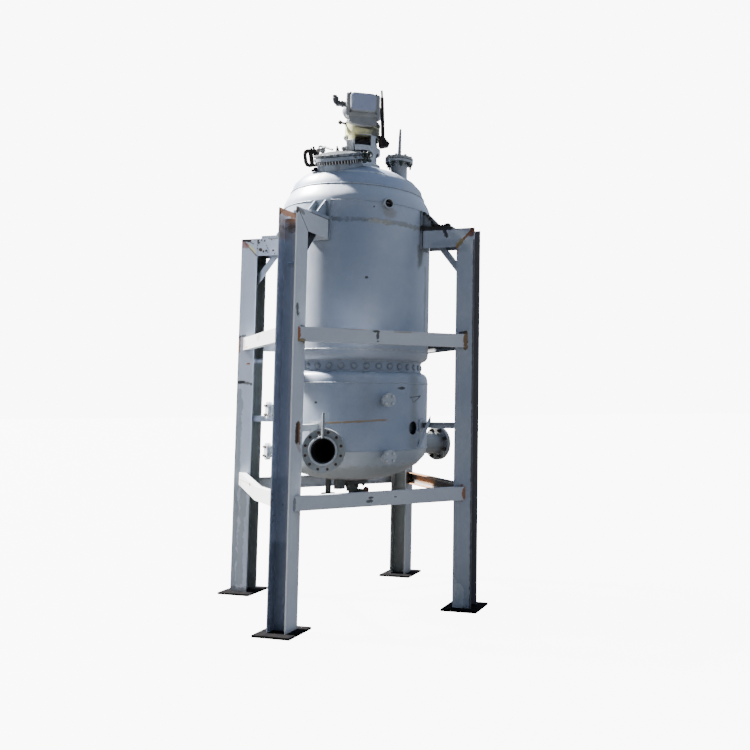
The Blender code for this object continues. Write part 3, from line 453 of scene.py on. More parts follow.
def keep(piece, slot, replaces=False):
    """Attach the piece to the root body, and hide the part that it stands in for where it replaces one."""
    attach(piece, "root")
    if replaces:
        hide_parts(slot)


def add_piece(name, slot, finish, shape):
    keep(new_object(shape, name, finish), slot)


def outward(azimuth):
    """The level direction at an azimuth."""
    return Vector((cos(radians(azimuth)), sin(radians(azimuth)), 0.0))


def radial(azimuth, z, distance):
    return outward(azimuth) * distance + UP * z


def facing(origin, direction):
    """A frame at origin whose Z axis points along direction."""
    turn = Vector(direction).normalized().to_track_quat("Z", "Y").to_matrix().to_4x4()
    return Matrix.Translation(origin) @ turn


def frame_of(origin, right, up, ahead):
    """A frame at origin with its X, Y and Z axes given."""
    return Matrix.Translation(origin) @ Matrix((right, up, ahead)).transposed().to_4x4()


def shift(x, y, z):
    return Matrix.Translation((x, y, z))


def around(azimuth, z, distance):
    """A frame that faces out from the tank's axis."""
    return facing(radial(azimuth, z, distance), outward(azimuth))


def lathe(shape, profile, sides, place=None, closed=False):
    """Turn a profile of (radius, height) about Z: from axis to axis, or back to its start where closed."""
    rings = []
    for radius, height in profile:
        angles = [2 * pi * i / sides for i in range(sides if radius else 1)]
        rings.append([shape.verts.new((radius * cos(a), radius * sin(a), height)) for a in angles])
    for above, below in zip(rings, rings[1:] + rings[:1] if closed else rings[1:]):
        for i in range(sides):
            j = (i + 1) % sides
            corners = [above[k % len(above)] for k in (i, j)] + [below[k % len(below)] for k in (j, i)]
            shape.faces.new(list(dict.fromkeys(corners)))
    if place is not None:
        bmesh.ops.transform(shape, matrix=place, verts=[vert for ring in rings for vert in ring])


def join_rings(shape, rings):
    """Close the sides between rings of equally many corners."""
    for below, above in zip(rings, rings[1:]):
        for i in range(len(below)):
            j = (i + 1) % len(below)
            shape.faces.new([below[i], below[j], above[j], above[i]])


def rod(shape, radius, low, high, sides, place):
    """A plain round bar between two heights of the place."""
    lathe(shape, [(0, high), (radius, high), (radius, low), (0, low)], sides, place)


def nut(shape, width, height, place, stud=0.0):
    """A six-sided nut on its washer, with the stud's end standing out of it."""
    r = width / sqrt(3)
    base = 0.002
    top = base + height
    rod(shape, width * 0.62, 0.0, base, 14, place)
    lathe(shape, [(0, top), (r * 0.84, top), (r, base + height * 0.86), (r, base), (0, base)], 6, place)
    if stud:
        tip = top + stud
        r = width * 0.3
        lathe(shape, [(0, tip), (r * 0.8, tip), (r, tip - 0.002), (r, base), (0, base)], 10, place)


def slab(shape, size, place, bevel):
    """A block with its edges rounded off."""
    made = bmesh.ops.create_cube(shape, size=1.0, matrix=place @ Matrix.Diagonal((*size, 1.0)))["verts"]
    edges = list({edge for vert in made for edge in vert.link_edges})
    bmesh.ops.bevel(shape, geom=edges, offset=bevel, segments=2, profile=0.6, affect="EDGES")


def bar_between(shape, start, end, radius, sides=12):
    """A round bar with softened ends."""
    reach = (end - start).length
    soft = radius * 0.2
    lathe(shape, [(0, reach), (radius - soft, reach), (radius, reach - soft), (radius, soft),
                  (radius - soft, 0), (0, 0)], sides, facing(start, end - start))


def path_object(points, cyclic):
    """A poly curve through the points, to carry a bead."""
    data = bpy.data.curves.new("path", "CURVE")
    data.dimensions = "3D"
    spline = data.splines.new("POLY")
    spline.points.add(len(points) - 1)
    for mark, point in zip(spline.points, points):
        mark.co = (*point, 1.0)
    spline.use_cyclic_u = cyclic
    return link_object("path", data)


def repeat_round(name, shape, slot, finish, count, start=0.0, turn=None, place=None):
    """Copies of a shape about the place's Z axis, from the start angle on, in degrees."""
    grow(name, new_object(shape, "source"), "repeat_round", slot, place, Count=count, Start=radians(start),
         Step=radians(turn or 360 / count), Finish=finish)


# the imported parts; those named here keep their own faces, and the jackets get new walls

FLAT_PARTS = ("leg_", "base_plate_", "stay_", "lug_", "mid_beam_", "low_beam_", "inner_", "upper_jacket",
              "lower_jacket")


def smooth_copy(node, finish):
    """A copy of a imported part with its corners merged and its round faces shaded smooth."""
    shape = bmesh.new()
    shape.from_mesh(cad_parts[node].data)
    bmesh.ops.remove_doubles(shape, verts=shape.verts, dist=0.00002)
    bmesh.ops.dissolve_limit(shape, angle_limit=radians(0.4), verts=shape.verts, edges=shape.edges)
    for face in shape.faces:
        face.smooth = True
    for edge in shape.edges:
        edge.smooth = len(edge.link_faces) == 2 and edge.calc_face_angle(0.0) <= radians(32)
    mesh = bpy.data.meshes.new(node + "_skin")
    shape.to_mesh(mesh)
    shape.free()
    keep(link_object(node + "_skin", mesh, finish), node, replaces=True)


def dress(node, finish):
    """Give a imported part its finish; a round part is shown as a copy with smooth shading."""
    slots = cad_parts[node].data.materials
    slots.clear()
    slots.append(finish)
    if not node.startswith(FLAT_PARTS):
        smooth_copy(node, finish)


def coat(node, shade, *tint, **look):
    dress(node, painted(node, shade, *tint, **look))


# stains and painted light or shade, each with its shape, its colour and its strength

def spot(x, y, z, size, over, strength, wobble=0.9, softness=0.3, grain=40.0):
    shape = {"Centre": (x, y, z), "Size": size, "Wobble": wobble, "Softness": softness, "Grain": grain}
    return ("ragged_spot", shape, over, strength)


def line(start, end, width, over, strength, wobble=0.8, softness=0.3, grain=40.0):
    shape = {"From": start, "To": end, "Width": width, "Wobble": wobble, "Softness": softness,
             "Grain": grain}
    return ("ragged_line", shape, over, strength)


def band(azimuth, reach, z, width, over, strength, slope=0.0, wobble=0.5):
    shape = {"Azimuth": radians(azimuth), "Reach": radians(reach), "Height": z, "Width": width,
             "Slope": slope, "Wobble": wobble}
    return ("ring_stain", shape, over, strength)


SHELL_STAINS_AND_PAINTED_LIGHT = {
    "upper_jacket": [
        band(-100, 75, 3.01, 0.024, (0.235, 0.24, 0.225), 0.6, 0, 0.8),
        band(-110, 20, 3.008, 0.015, (0.11, 0.108, 0.09), 0.75, 0, 3.2),
        band(-92, 10, 3.004, 0.016, (0.48, 0.48, 0.46), 0.75, 0, 3.4),
        band(-65, 20, 3.002, 0.014, (0.3, 0.3, 0.28), 0.7, 0, 3),
        # painted light: a warm pale streak down the right side of the jacket
        line((0.54, -0.275, 2.05), (0.54, -0.275, 3.02), 0.2, (0.45, 0.43, 0.38), 0.5, 0.7, 0.9, 3),
        # painted shade: a broad bluish darkening down the middle of the jacket's front
        line((-0.28, -0.535, 2.15), (-0.25, -0.55, 3), 0.26, (0.24, 0.3, 0.42), 0.62, 0.4, 0.9, 2.5),
        line((0.37, -0.48, 2.72), (0.385, -0.47, 2.86), 0.06, (0.12, 0.122, 0.105), 0.75, 1, 0.9, 9),
        line((0.45, -0.4, 2.1), (0.452, -0.4, 2.7), 0.03, (0.17, 0.185, 0.18), 0.45, 1.2, 0.9, 7),
        band(-95, 180, 2.008, 0.007, "chalk", 0.6, 0, 1.2),
        spot(-0.065, -0.6, 3.118, (0.009, 0.03, 0.007), "soot", 0.9),
        # painted shade: a near-black disc where the upper stub's bore meets the jacket
        line((0.041, -0.585, 3.15), (0.043, -0.622, 3.15), 0.0335, (0.004, 0.004, 0.004), 1, 0.02, 0.05),
        spot(-0.11, -0.594, 2.56, (0.016, 0.05, 0.012), "soot", 0.9),
        spot(0.065, -0.6, 3.085, (0.075, 0.1, 0.06), (0.3, 0.265, 0.24), 0.6, 0.9, 0.6),
    ],
    "lower_jacket": [
        band(-106, 27, 1.456, 0.0105, (0.33, 0.22, 0.105), 0.85, 0.03, 0.7),
        band(-95, 180, 1.75, 0.005, (0.2, 0.225, 0.27), 0.6, 0, 0.6),
        spot(0.2, -0.57, 1.712, (0.045, 0.05, 0.014), "soot", 0.9, 1.6, 0.3, 60),
        line((0.285, -0.535, 1.64), (0.41, -0.445, 1.652), 0.0055, "soot", 0.85, 1, 0.3, 60),
        line((0.41, -0.445, 1.652), (0.325, -0.512, 1.6), 0.005, "soot", 0.85, 1, 0.3, 60),
        line((0.325, -0.512, 1.6), (0.3, -0.526, 1.64), 0.0055, "soot", 0.8, 1, 0.3, 60),
        spot(-0.43, -0.424, 1.6, (0.01, 0.05, 0.01), "soot", 0.9),
        spot(-0.08, -0.599, 1.6, (0.11, 0.1, 0.3), (0.25, 0.28, 0.33), 0.4, 0.9, 0.8),
        line((0.33, -0.505, 1.25), (0.33, -0.505, 1.78), 0.09, (0.25, 0.262, 0.27), 0.55, 0.8, 0.9, 4),
    ],
    "bottom_head": [
        band(-107, 180, 1.236, 0.006, (0.19, 0.215, 0.235), 0.6, 0, 0.6),
        band(-107, 180, 1.05, 0.08, (0.25, 0.255, 0.225), 0.45, 0, 0.5),
        band(-100, 50, 0.975, 0.012, "old_rust", 0.7, 0, 1.8),
        spot(-0.1, -0.1, 0.985, (0.3, 0.3, 0.03), "old_rust", 0.5, 1.6),
    ],
    "top_head": [
        spot(-0.01, -0.47, 3.42, (0.022, 0.06, 0.012), "soot", 0.6),
        # painted highlight: a pale line round the head
        band(-110, 60, 3.42, 0.008, "chalk", 0.7, 0, 1.6),
        # painted reflection: a pale bluish streak of sky on the right of the head
        line((0.34, -0.36, 3.3), (0.2, -0.3, 3.5), 0.19, (0.48, 0.5, 0.56), 0.75, 0.8, 0.9, 5),
        spot(-0.3, -0.3, 3.5, (0.26, 0.26, 0.03), "soot", 0.35, 1, 0.6),
    ],
}
# Tints of the one shell paint that paint in light and shade: darker and bluer on the top head and lower
# jacket, paler and warmer on the bottom head.
SHELL_PAINTED_LIGHT_TINT = {"top_head": (0.8, 0.86, 1.0), "upper_jacket": (1.04, 1.02, 1.04),
              "lower_jacket": (0.92, 0.93, 0.98), "bottom_head": (1.3, 1.22, 1.1)}
JACKET_OUTLINES = {
    "upper_jacket": ((0.5453, 3.305), (0.554, 3.293), (0.562, 3.277), (0.573, 3.259), (0.583, 3.24),
                     (0.591, 3.222), (0.598, 3.204), (0.6022, 3.186), (0.604, 3.165), (0.604, 2.99),
                     (0.604, 2.6), (0.604, 2.2), (0.604, 2.008), (0.604, 1.995), (0.602, 1.98),
                     (0.598, 1.966),
                     (0.59, 1.953), (0.58, 1.942), (0.563, 1.934), (0.5453, 1.926)),
    "lower_jacket": ((0.5453, 1.84), (0.562, 1.8355), (0.576, 1.829), (0.588, 1.817), (0.596, 1.802),
                     (0.602, 1.782), (0.604, 1.758), (0.604, 1.6), (0.604, 1.4), (0.604, 1.2285)),
}


def head_height(x, y):
    """Height of the dished top head above a point inside its rim."""
    return HEAD_Z + HEAD_RISE * sqrt(max(0.0, 1.0 - (x * x + y * y) / HEAD_RADIUS ** 2))


def ripple(azimuth, z):
    """How far rolled plate wanders from true, in metres."""
    slow = sin(3 * azimuth + 1.7 * z) * 0.4 + sin(7 * azimuth - 4.1 * z + 1.0) * 0.35
    return -0.0009 - 0.0009 * (slow + sin(13 * azimuth + 9.0 * z) * 0.25)


def turned_shell(name, outline):
    """A rolled and dished jacket wall, a little wavy, with its real thickness."""
    outer = []
    for (r0, z0), (r1, z1) in zip(outline, outline[1:]):
        rows = 1 if abs(z1 - z0) < 0.06 else 8
        outer += [(r0 + (r1 - r0) * k / rows, z0 + (z1 - z0) * k / rows) for k in range(rows)]
    outer.append(outline[-1])
    inner = [(r - SHELL_WALL, z) for r, z in reversed(outer[2:-2])]
    shape = bmesh.new()
    lathe(shape, outer + inner, TURN_STEPS, closed=True)
    for vert in shape.verts:
        reach = vert.co.xy.length
        if reach > WAVY_FROM:
            stretch = 1.0 + ripple(atan2(vert.co.y, vert.co.x), vert.co.z) / reach
            vert.co.x *= stretch
            vert.co.y *= stretch
    return new_object(shape, name)


def cut_hole(shell, azimuth, z, near, far, radius):
    """Take a round hole that faces out of a shell with an exact Boolean."""
    shape = bmesh.new()
    rod(shape, radius, 0.0, far - near, 48, around(azimuth, z, near))
    tool = new_object(shape, "hole_tool")
    modifier = shell.modifiers.new("hole", "BOOLEAN")
    modifier.operation = "DIFFERENCE"
    modifier.solver = "EXACT"
    modifier.object = tool
    bpy.context.view_layer.update()
    mesh = bpy.data.meshes.new_from_object(shell.evaluated_get(bpy.context.evaluated_depsgraph_get()))
    shell.modifiers.clear()
    shell.data = mesh
    bpy.data.objects.remove(tool, do_unlink=True)


def jacket_wall(node, outline, finish):
    """One jacket, turned as one smooth wall; the lower one has its two holes."""
    piece = turned_shell(node + "_wall", outline)
    if node == "lower_jacket":
        cut_hole(piece, *OPEN_HOLE, 0.55, 0.66, 0.053)
        cut_hole(piece, *MAIN_NOZZLE, 0.45, 0.72, 0.0938)
    for face in piece.data.polygons:
        face.use_smooth = True
    piece.data.set_sharp_from_angle(angle=radians(30))
    piece.data.materials.clear()
    piece.data.materials.append(finish)
    keep(piece, node, replaces=True)


class TANK_OT_shells(bpy.types.Operator):
    """Paint the heads and jackets, with their welds' stains and scars and painted light and shade"""
    bl_idname = "tank.shells"
    bl_label = "Vessel paint"

    def execute(self, context):
        finishes = {name: painted(name, "shell", tint, fading=0.3, dirt=0.16, runs=0.12,
                                  stains=SHELL_STAINS_AND_PAINTED_LIGHT[name], depth=0.3) for name, tint in SHELL_PAINTED_LIGHT_TINT.items()}
        for name, finish in finishes.items():
            dress(name, finish)
        for name, outline in JACKET_OUTLINES.items():
            jacket_wall(name, outline, finishes[name])
        coat("inner_vessel", "shell", (0.72, 0.74, 0.78), fading=0.15, dirt=0.3)
        # painted shade: the inside of the vessel is near black, so that it looks dark through the open
        # nozzles
        steel = metal("vessel_steel", (0.02, 0.02, 0.021), (0.012, 0.011, 0.011), 0.55, 0.5, 0.5)
        dress("inner_knuckle", steel)
        dress("inner_bottom", steel)
        return {"FINISHED"}


# steelwork

def on_post(place, out, side, z):
    """A point by a post: distance out from the axis, then sideways, anticlockwise from above."""
    return radial(LEG_PLACES[place], z, out) + outward(LEG_PLACES[place] + 90) * side


def streaks(place, side, rows):
    """Streaks on a post. Each end is (out, height) on the post's side face, or (out, side, height)."""
    made = []
    for row in rows:
        ends = [on_post(place, end[0], end[1] if len(end) == 3 else side, end[-1]) for end in row[:2]]
        made.append(line(*ends, *row[2:]))
    return made


def recess(place, out, far, low, high, over, strength, softness=0.1):
    """Shade and dirt between the post's flanges: the web, and the inner face of the far flange."""
    faces = ((-0.02, far * 0.052, 0.054), (0.02, far * 0.052, 0.054), (0.0, 0.0, 0.069))
    return streaks(place, 0.0, [((out + shift, side, low), (out + shift, side, high), width, over, strength,
                                 0.1, softness, 9.0) for shift, side, width in faces])


LEG_STAINS_AND_PAINTED_LIGHT = {
    "front_left": [
        *recess("front_left", 1.034, -1, 0, 3, (0.215, 0.262, 0.38), 0.8),
        *recess("front_left", 1.034, -1, -0.4, 0.6, (0.04, 0.052, 0.084), 0.75, 0.9),
        *recess("front_left", 1.034, -1, -0.4, 1.05, (0.11, 0.14, 0.205), 0.6, 0.9),
        *recess("front_left", 1.034, -1, 2.8, 2.92, (0.19, 0.14, 0.105), 0.6, 0.9),
        *streaks("front_left", POST_SIDE, (
            ((0.86, -0.066, 3.02), (1.065, -0.066, 3), 0.06, (0.23, 0.11, 0.055), 0.95, 1, 0.15, 26),
            ((0.955, -0.01, 2.925), (1.06, -0.01, 2.925), 0.06, (0.19, 0.098, 0.055), 0.9, 0.7, 0.5, 26),
            ((1.01, -0.04, 2.868), (1.01, 0.045, 2.862), 0.022, (0.05, 0.03, 0.022), 0.8, 1.4),
            # painted shadow: the next streak blackens the brace's face under the arm
            ((0.925, 0, 2.68), (0.68, 0, 2.92), 0.062, (0.008, 0.011, 0.018), 0.97, 0.05, 0.05),
        )),
        spot(*on_post("front_left", 1.034, 0, 2.86), (0.075, 0.075, 0.06), (0.05, 0.03, 0.02), 0.7, 1.2),
        *streaks("front_left", POST_SIDE, (
            ((1.068, -0.075, 2.97), (1.068, 0.075, 2.97), 0.02, "old_rust", 0.95),
            ((1.068, -0.075, 0), (1.068, -0.075, 2.9), 0.006, "chalk", 0.35, 0.8, 0.3, 14),
            ((1.062, 2.998), (0.916, 2.852), 0.0045, "old_rust", 0.85),
            ((1.062, 2.99), (0.98, 2.97), 0.018, (0.18, 0.16, 0.13), 0.7),
            ((0.9, 2.998), (0.6, 2.998), 0.007, "old_rust", 0.8, 0.8, 0.3, 70),
            ((0.985, 1.335), (0.985, 1.445), 0.03, (0.05, 0.026, 0.014), 1),
            ((0.955, 1.31), (0.958, 1.455), 0.014, (0.235, 0.11, 0.05), 0.85, 1.2),
            ((0.975, 1.3), (0.945, 1.262), 0.02, (0.3, 0.2, 0.17), 0.5),
            ((1.03, -0.02, 0.905), (1.034, -0.03, 0.775), 0.032, (0.03, 0.018, 0.012), 0.9, 1.5),
            ((1.06, -0.05, 0.96), (1.06, -0.05, 0.885), 0.02, (0.09, 0.06, 0.055), 0.7, 1.5),
            ((1, 0.01, 1.48), (1, 0.01, 1.43), 0.006, "soot", 0.8, 0.6),
            ((1, 0.01, 1.48), (1, 0.03, 1.482), 0.005, "soot", 0.8, 0.6),
            ((0.972, 0.078, 2.13), (0.968, 0.078, 2.055), 0.013, "scale", 0.95, 1.5, 0.3, 60),
            ((0.968, 0.078, 2.05), (0.925, 0.078, 2.035), 0.011, (0.2, 0.13, 0.04), 0.8, 1.6, 0.3, 60),
            ((0.975, 0.078, 2.15), (0.93, 0.078, 2.15), 0.008, (0.06, 0.065, 0.04), 0.8),
            ((1.03, 2.3), (1.02, 2.23), 0.016, "soot", 0.9, 2.8, 0.1, 60),
            ((0.895, 0.95), (0.895, 0.84), 0.008, "soot", 0.6, 1.4),
        )),
    ],
    "front_right": [
        *recess("front_right", 1.034, 1, 0, 3, (0.15, 0.142, 0.148), 0.9),
        *streaks("front_right", -POST_SIDE, (
            # painted shade: the next streak darkens the arm's side
            ((0.74, 2.86), (0.98, 2.86), 0.075, (0.19, 0.225, 0.29), 0.35, 0.4, 0.6),
            ((1.064, -0.074, 0.02), (1.064, -0.074, 2.9), 0.01, (0.05, 0.038, 0.034), 0.85, 0.9, 0.3, 24),
            ((1.062, 2.998), (0.916, 2.852), 0.012, (0.2, 0.085, 0.035), 0.95, 0.7),
            ((0.955, 2.895), (0.925, 2.86), 0.022, (0.3, 0.24, 0.11), 0.8),
            ((1.055, 2.985), (1.035, 2.95), 0.028, (0.16, 0.06, 0.028), 0.9),
            ((0.7, 2.998), (1.06, 2.998), 0.006, "old_rust", 0.8, 0.8, 0.3, 70),
            ((0.812, 2.985), (0.826, 2.945), 0.017, (0.03, 0.033, 0.04), 0.95, 1.4, 0.3, 60),
            ((0.6, 2.999), (0.99, 2.999), 0.009, (0.02, 0.022, 0.026), 0.9),
            ((0.592, 2.84), (0.592, 3.02), 0.026, (0.024, 0.028, 0.04), 0.9, 0.4),
            ((0.925, 2.86), (0.925, 2.8), 0.008, "rust", 0.6),
            ((1, -0.078, 2.15), (1, -0.078, 2.035), 0.022, (0.16, 0.095, 0.04), 0.95),
            ((1.01, -0.078, 2.165), (0.95, -0.078, 2.155), 0.009, (0.04, 0.034, 0.02), 0.9),
            ((0.985, -0.078, 0.95), (0.985, -0.078, 0.84), 0.012, "rust", 0.8, 1.5),
            # painted light: the last two streaks are sunlit patches at the post's foot
            ((0.955, -0.078, 0.04), (0.955, -0.078, 0.15), 0.055, (0.64, 0.69, 0.74), 0.6, 0.25, 0.08),
            ((0.925, -0.078, 0.15), (0.925, -0.078, 0.215), 0.028, (0.64, 0.69, 0.74), 0.6, 0.25, 0.08),
        )),
    ],
    "rear_left": [
        *recess("rear_left", 0.946, -1, 2, 3, (0.03, 0.034, 0.028), 0.95, 0.5),
        *recess("rear_left", 0.946, -1, 0, 1.9, (0.135, 0.152, 0.14), 0.93, 0.5),
        *streaks("rear_left", POST_SIDE, (
            ((1.062, 2.998), (0.916, 2.852), 0.007, (0.06, 0.05, 0.03), 0.9),
            ((1, 2.95), (0.93, 2.885), 0.012, (0.56, 0.52, 0.2), 0.6, 1.6),
            ((1.055, 2.97), (1.02, 2.94), 0.026, (0.23, 0.085, 0.085), 0.8, 1.4, 0.3),
            ((1.062, 2.996), (0.985, 2.99), 0.021, (0.016, 0.013, 0.013), 1, 0.8),
            ((0.7, 2.997), (0.8, 2.997), 0.01, (0.15, 0.11, 0.09), 0.7),
            ((0.985, 2.975), (0.945, 2.955), 0.006, "soot", 0.8, 0.6),
            ((1.066, 1.762), (1, 1.762), 0.015, (0.012, 0.014, 0.018), 1, 0.5),
            ((0.985, 1.758), (0.925, 1.748), 0.013, "soot", 0.85, 1.6),
            ((1.05, 2.15), (1.055, 2.02), 0.012, "scale", 0.7, 1.4),
            ((1.055, 2.15), (1, 2.165), 0.012, "soot", 0.8, 1.8),
            ((1.062, 0.05), (1.045, 1.68), 0.042, (0.235, 0.275, 0.325), 0.8, 1.3, 0.1, 7),
            ((0.985, 0.1), (0.965, 0.9), 0.03, (0.25, 0.29, 0.335), 0.7, 1.8, 0.15, 9),
            ((1.06, 0.03), (0.92, 0.03), 0.028, "soot", 0.6, 2.4),
        )),
    ],
    "rear_right": [
        *recess("rear_right", 0.946, 1, 0, 3, (0.23, 0.245, 0.235), 0.85),
        *streaks("rear_right", -POST_SIDE, (
            ((1.06, 0.05), (1.06, 0.9), 0.03, "chalk", 0.4, 1.5),
        )),
    ],
}
LUG_STAINS_AND_PAINTED_SHADE = {
    "front_left": streaks("front_left", 0, [((0.6, 3.02), (0.9, 3.02), 0.04, "soot", 0.8, 2.2, 0.3, 55)]),
    "front_right": streaks("front_right", 0, [
        # painted shade: near-black along the top of the arm by the lug
        ((0.6, -0.05, 3.005), (0.72, -0.05, 3.005), 0.055, (0.02, 0.02, 0.019), 0.9, 1, 0.8),
        ((0.6, -0.075, 3.016), (0.86, -0.075, 3.016), 0.024, (0.016, 0.016, 0.015), 0.95)]),
}
BEAM_STAINS_AND_PAINTED_LIGHT = {
    "mid_beam_front": [
        spot(-0.66, -0.77, 2.09, (0.02, 0.06, 0.07), "rust", 0.95, 1.3),
        spot(-0.635, -0.77, 2.045, (0.035, 0.06, 0.014), (0.27, 0.19, 0.08), 0.9, 1.4),
        spot(0.655, -0.77, 2.092, (0.028, 0.06, 0.07), (0.22, 0.13, 0.05), 0.95, 0.9),
        spot(-0.085, -0.77, 2.132, (0.034, 0.06, 0.01), "soot", 0.95, 1.5),
        spot(-0.072, -0.77, 2.1, (0.014, 0.06, 0.034), "soot", 0.9, 1.8, 0.3, 60),
        spot(-0.072, -0.77, 2.058, (0.012, 0.06, 0.006), "soot", 0.9),
        spot(0.13, -0.77, 2.134, (0.1, 0.06, 0.007), (0.3, 0.23, 0.17), 0.6, 1),
        spot(-0.24, -0.77, 2.141, (0.12, 0.06, 0.005), (0.24, 0.15, 0.1), 0.7, 1),
    ],
    "mid_beam_left": [
        spot(-0.77, 0.62, 2.085, (0.06, 0.045, 0.06), "scale", 0.6, 1.4),
        spot(-0.77, 0.54, 2.055, (0.06, 0.08, 0.01), (0.42, 0.25, 0.13), 0.8, 1.2),
        spot(-0.77, 0.05, 2.11, (0.06, 0.08, 0.035), (0.23, 0.22, 0.22), 0.5, 2.2, 0.3, 50),
    ],
    "mid_beam_right": [
        # painted shadow over the beam's inner face, then a painted sunlit patch
        line((0.4, -0.62, 2.09), (0.4, 0.62, 2.09), 0.367, (0.012, 0.012, 0.011), 0.95, 0, 0.008),
        line((0.66, 0.405, 2.08), (0.66, 0.455, 2.06), 0.108, (0.45, 0.3, 0.22), 0.9, 0, 0.03),
    ],
    "mid_beam_rear": [],
    "low_beam_front": [
        spot(0.655, -0.77, 0.895, (0.022, 0.06, 0.058), "rust", 0.9, 1.1),
        spot(-0.1, -0.77, 0.905, (0.022, 0.06, 0.01), "soot", 0.9, 1.4),
        spot(-0.11, -0.77, 0.88, (0.03, 0.06, 0.014), "soot", 0.85, 2, 0.3, 60),
        spot(-0.655, -0.77, 0.893, (0.012, 0.06, 0.06), "soot", 0.6, 1.4),
        spot(0.09, -0.77, 0.9, (0.014, 0.06, 0.006), "soot", 0.8),
    ],
    "low_beam_right": [
        # painted shadow over the beam's inner face; the brown patch after it is rust with painted sunlight
        # on it
        line((0.4, -0.62, 0.893), (0.4, 0.62, 0.893), 0.367, (0.014, 0.013, 0.012), 0.95, 0, 0.008),
        line((0.4, 0.08, 0.89), (0.4, 0.46, 0.895), 0.366, (0.33, 0.17, 0.08), 0.95, 0, 0.008),
    ],
    "low_beam_left": [
        spot(-0.77, 0.205, 0.942, (0.05, 0.045, 0.014), "scale", 0.95, 1.2),
        spot(-0.77, 0.205, 0.846, (0.05, 0.035, 0.012), "scale", 0.95, 1.2),
        line((-0.77, 0.24, 0.944), (-0.77, 0.74, 0.944), 0.005, (0.33, 0.3, 0.25), 0.7, 0.8, 0.3, 60),
        spot(-0.77, 0.6, 0.9, (0.06, 0.02, 0.05), "scale", 0.5, 1.4),
    ],
    "low_beam_rear": [],
}
# Tints of the shell paint that paint in shade: darker on the front lugs, darkest on the front right one.
LUG_PAINTED_SHADE_TINT = {"front_left": (0.72, 0.74, 0.76), "front_right": (0.62, 0.6, 0.58),
            "rear_right": (0.9, 0.9, 0.9), "rear_left": (1, 1, 1)}
# Tints of the one frame paint, also used on the stays, that paint in how each post is lit: paler front left,
# darker and bluer front right, darker rear right, bluer rear left.
STEEL_PAINTED_LIGHT_TINT = {"front_left": (1.2, 1.18, 1.16), "front_right": (0.8, 0.86, 0.97),
              "rear_right": (0.5, 0.5, 0.5), "rear_left": (0.9, 0.94, 1.06)}


class TANK_OT_steelwork(bpy.types.Operator):
    """Paint the posts, beams, stays and lugs, with rust at their joints and painted light and shade"""
    bl_idname = "tank.steelwork"
    bl_label = "Frame paint"

    def execute(self, context):
        for place, tint in STEEL_PAINTED_LIGHT_TINT.items():
            coat("leg_" + place, "steelwork", tint, fading=0.3, dirt=0.24, runs=0.22, rust=0.05,
                 stains=LEG_STAINS_AND_PAINTED_LIGHT[place], rough=0.4)
            # painted shade: the base plates are near black with little shine
            dress("base_plate_" + place, metal("base_plate_" + place, (0.003, 0.0034, 0.005),
                                               (0.008, 0.007, 0.007), 0.95, 0.0, 0.4, shine=0.04))
            coat("stay_" + place, "steelwork", tint, fading=0.25, dirt=0.3, runs=0.15, rust=0.06)
            coat("lug_" + place, "shell", LUG_PAINTED_SHADE_TINT[place], fading=0.2, dirt=0.55, runs=0.35, rust=0.08,
                 age=0.75, stains=LUG_STAINS_AND_PAINTED_SHADE.get(place, ()))
        for name, stains in BEAM_STAINS_AND_PAINTED_LIGHT.items():
            # painted sunlight: the left beams get a paler, warmer tint than the others
            tint = (1.55, 1.5, 1.35) if "left" in name else (1.18, 1.15, 1.15)
            coat(name, "steelwork", tint, fading=0.55, dirt=0.22, runs=0.08, rust=0.05, stains=stains,
                 rough=0.42)
        return {"FINISHED"}


# fittings

WORN = {"fading": 0.35, "dirt": 0.45, "runs": 0.25, "rust": 0.07, "age": 0.7}
OPEN_WORN = {"fading": 0.3, "dirt": 0.7, "runs": 0.4, "rust": 0.3, "age": 0.8}
FITTING_TINT = {"side_nozzle": (0.55, 0.52, 0.48), "gauge_nozzle_upper": (1, 1, 1),
                "gauge_nozzle_lower": (1, 1, 1), "left_nozzle_lower": (1, 1, 1),
                "top_nozzle": (0.92, 0.88, 0.84),
                "top_nozzle_cover": (0.75, 0.68, 0.62)}


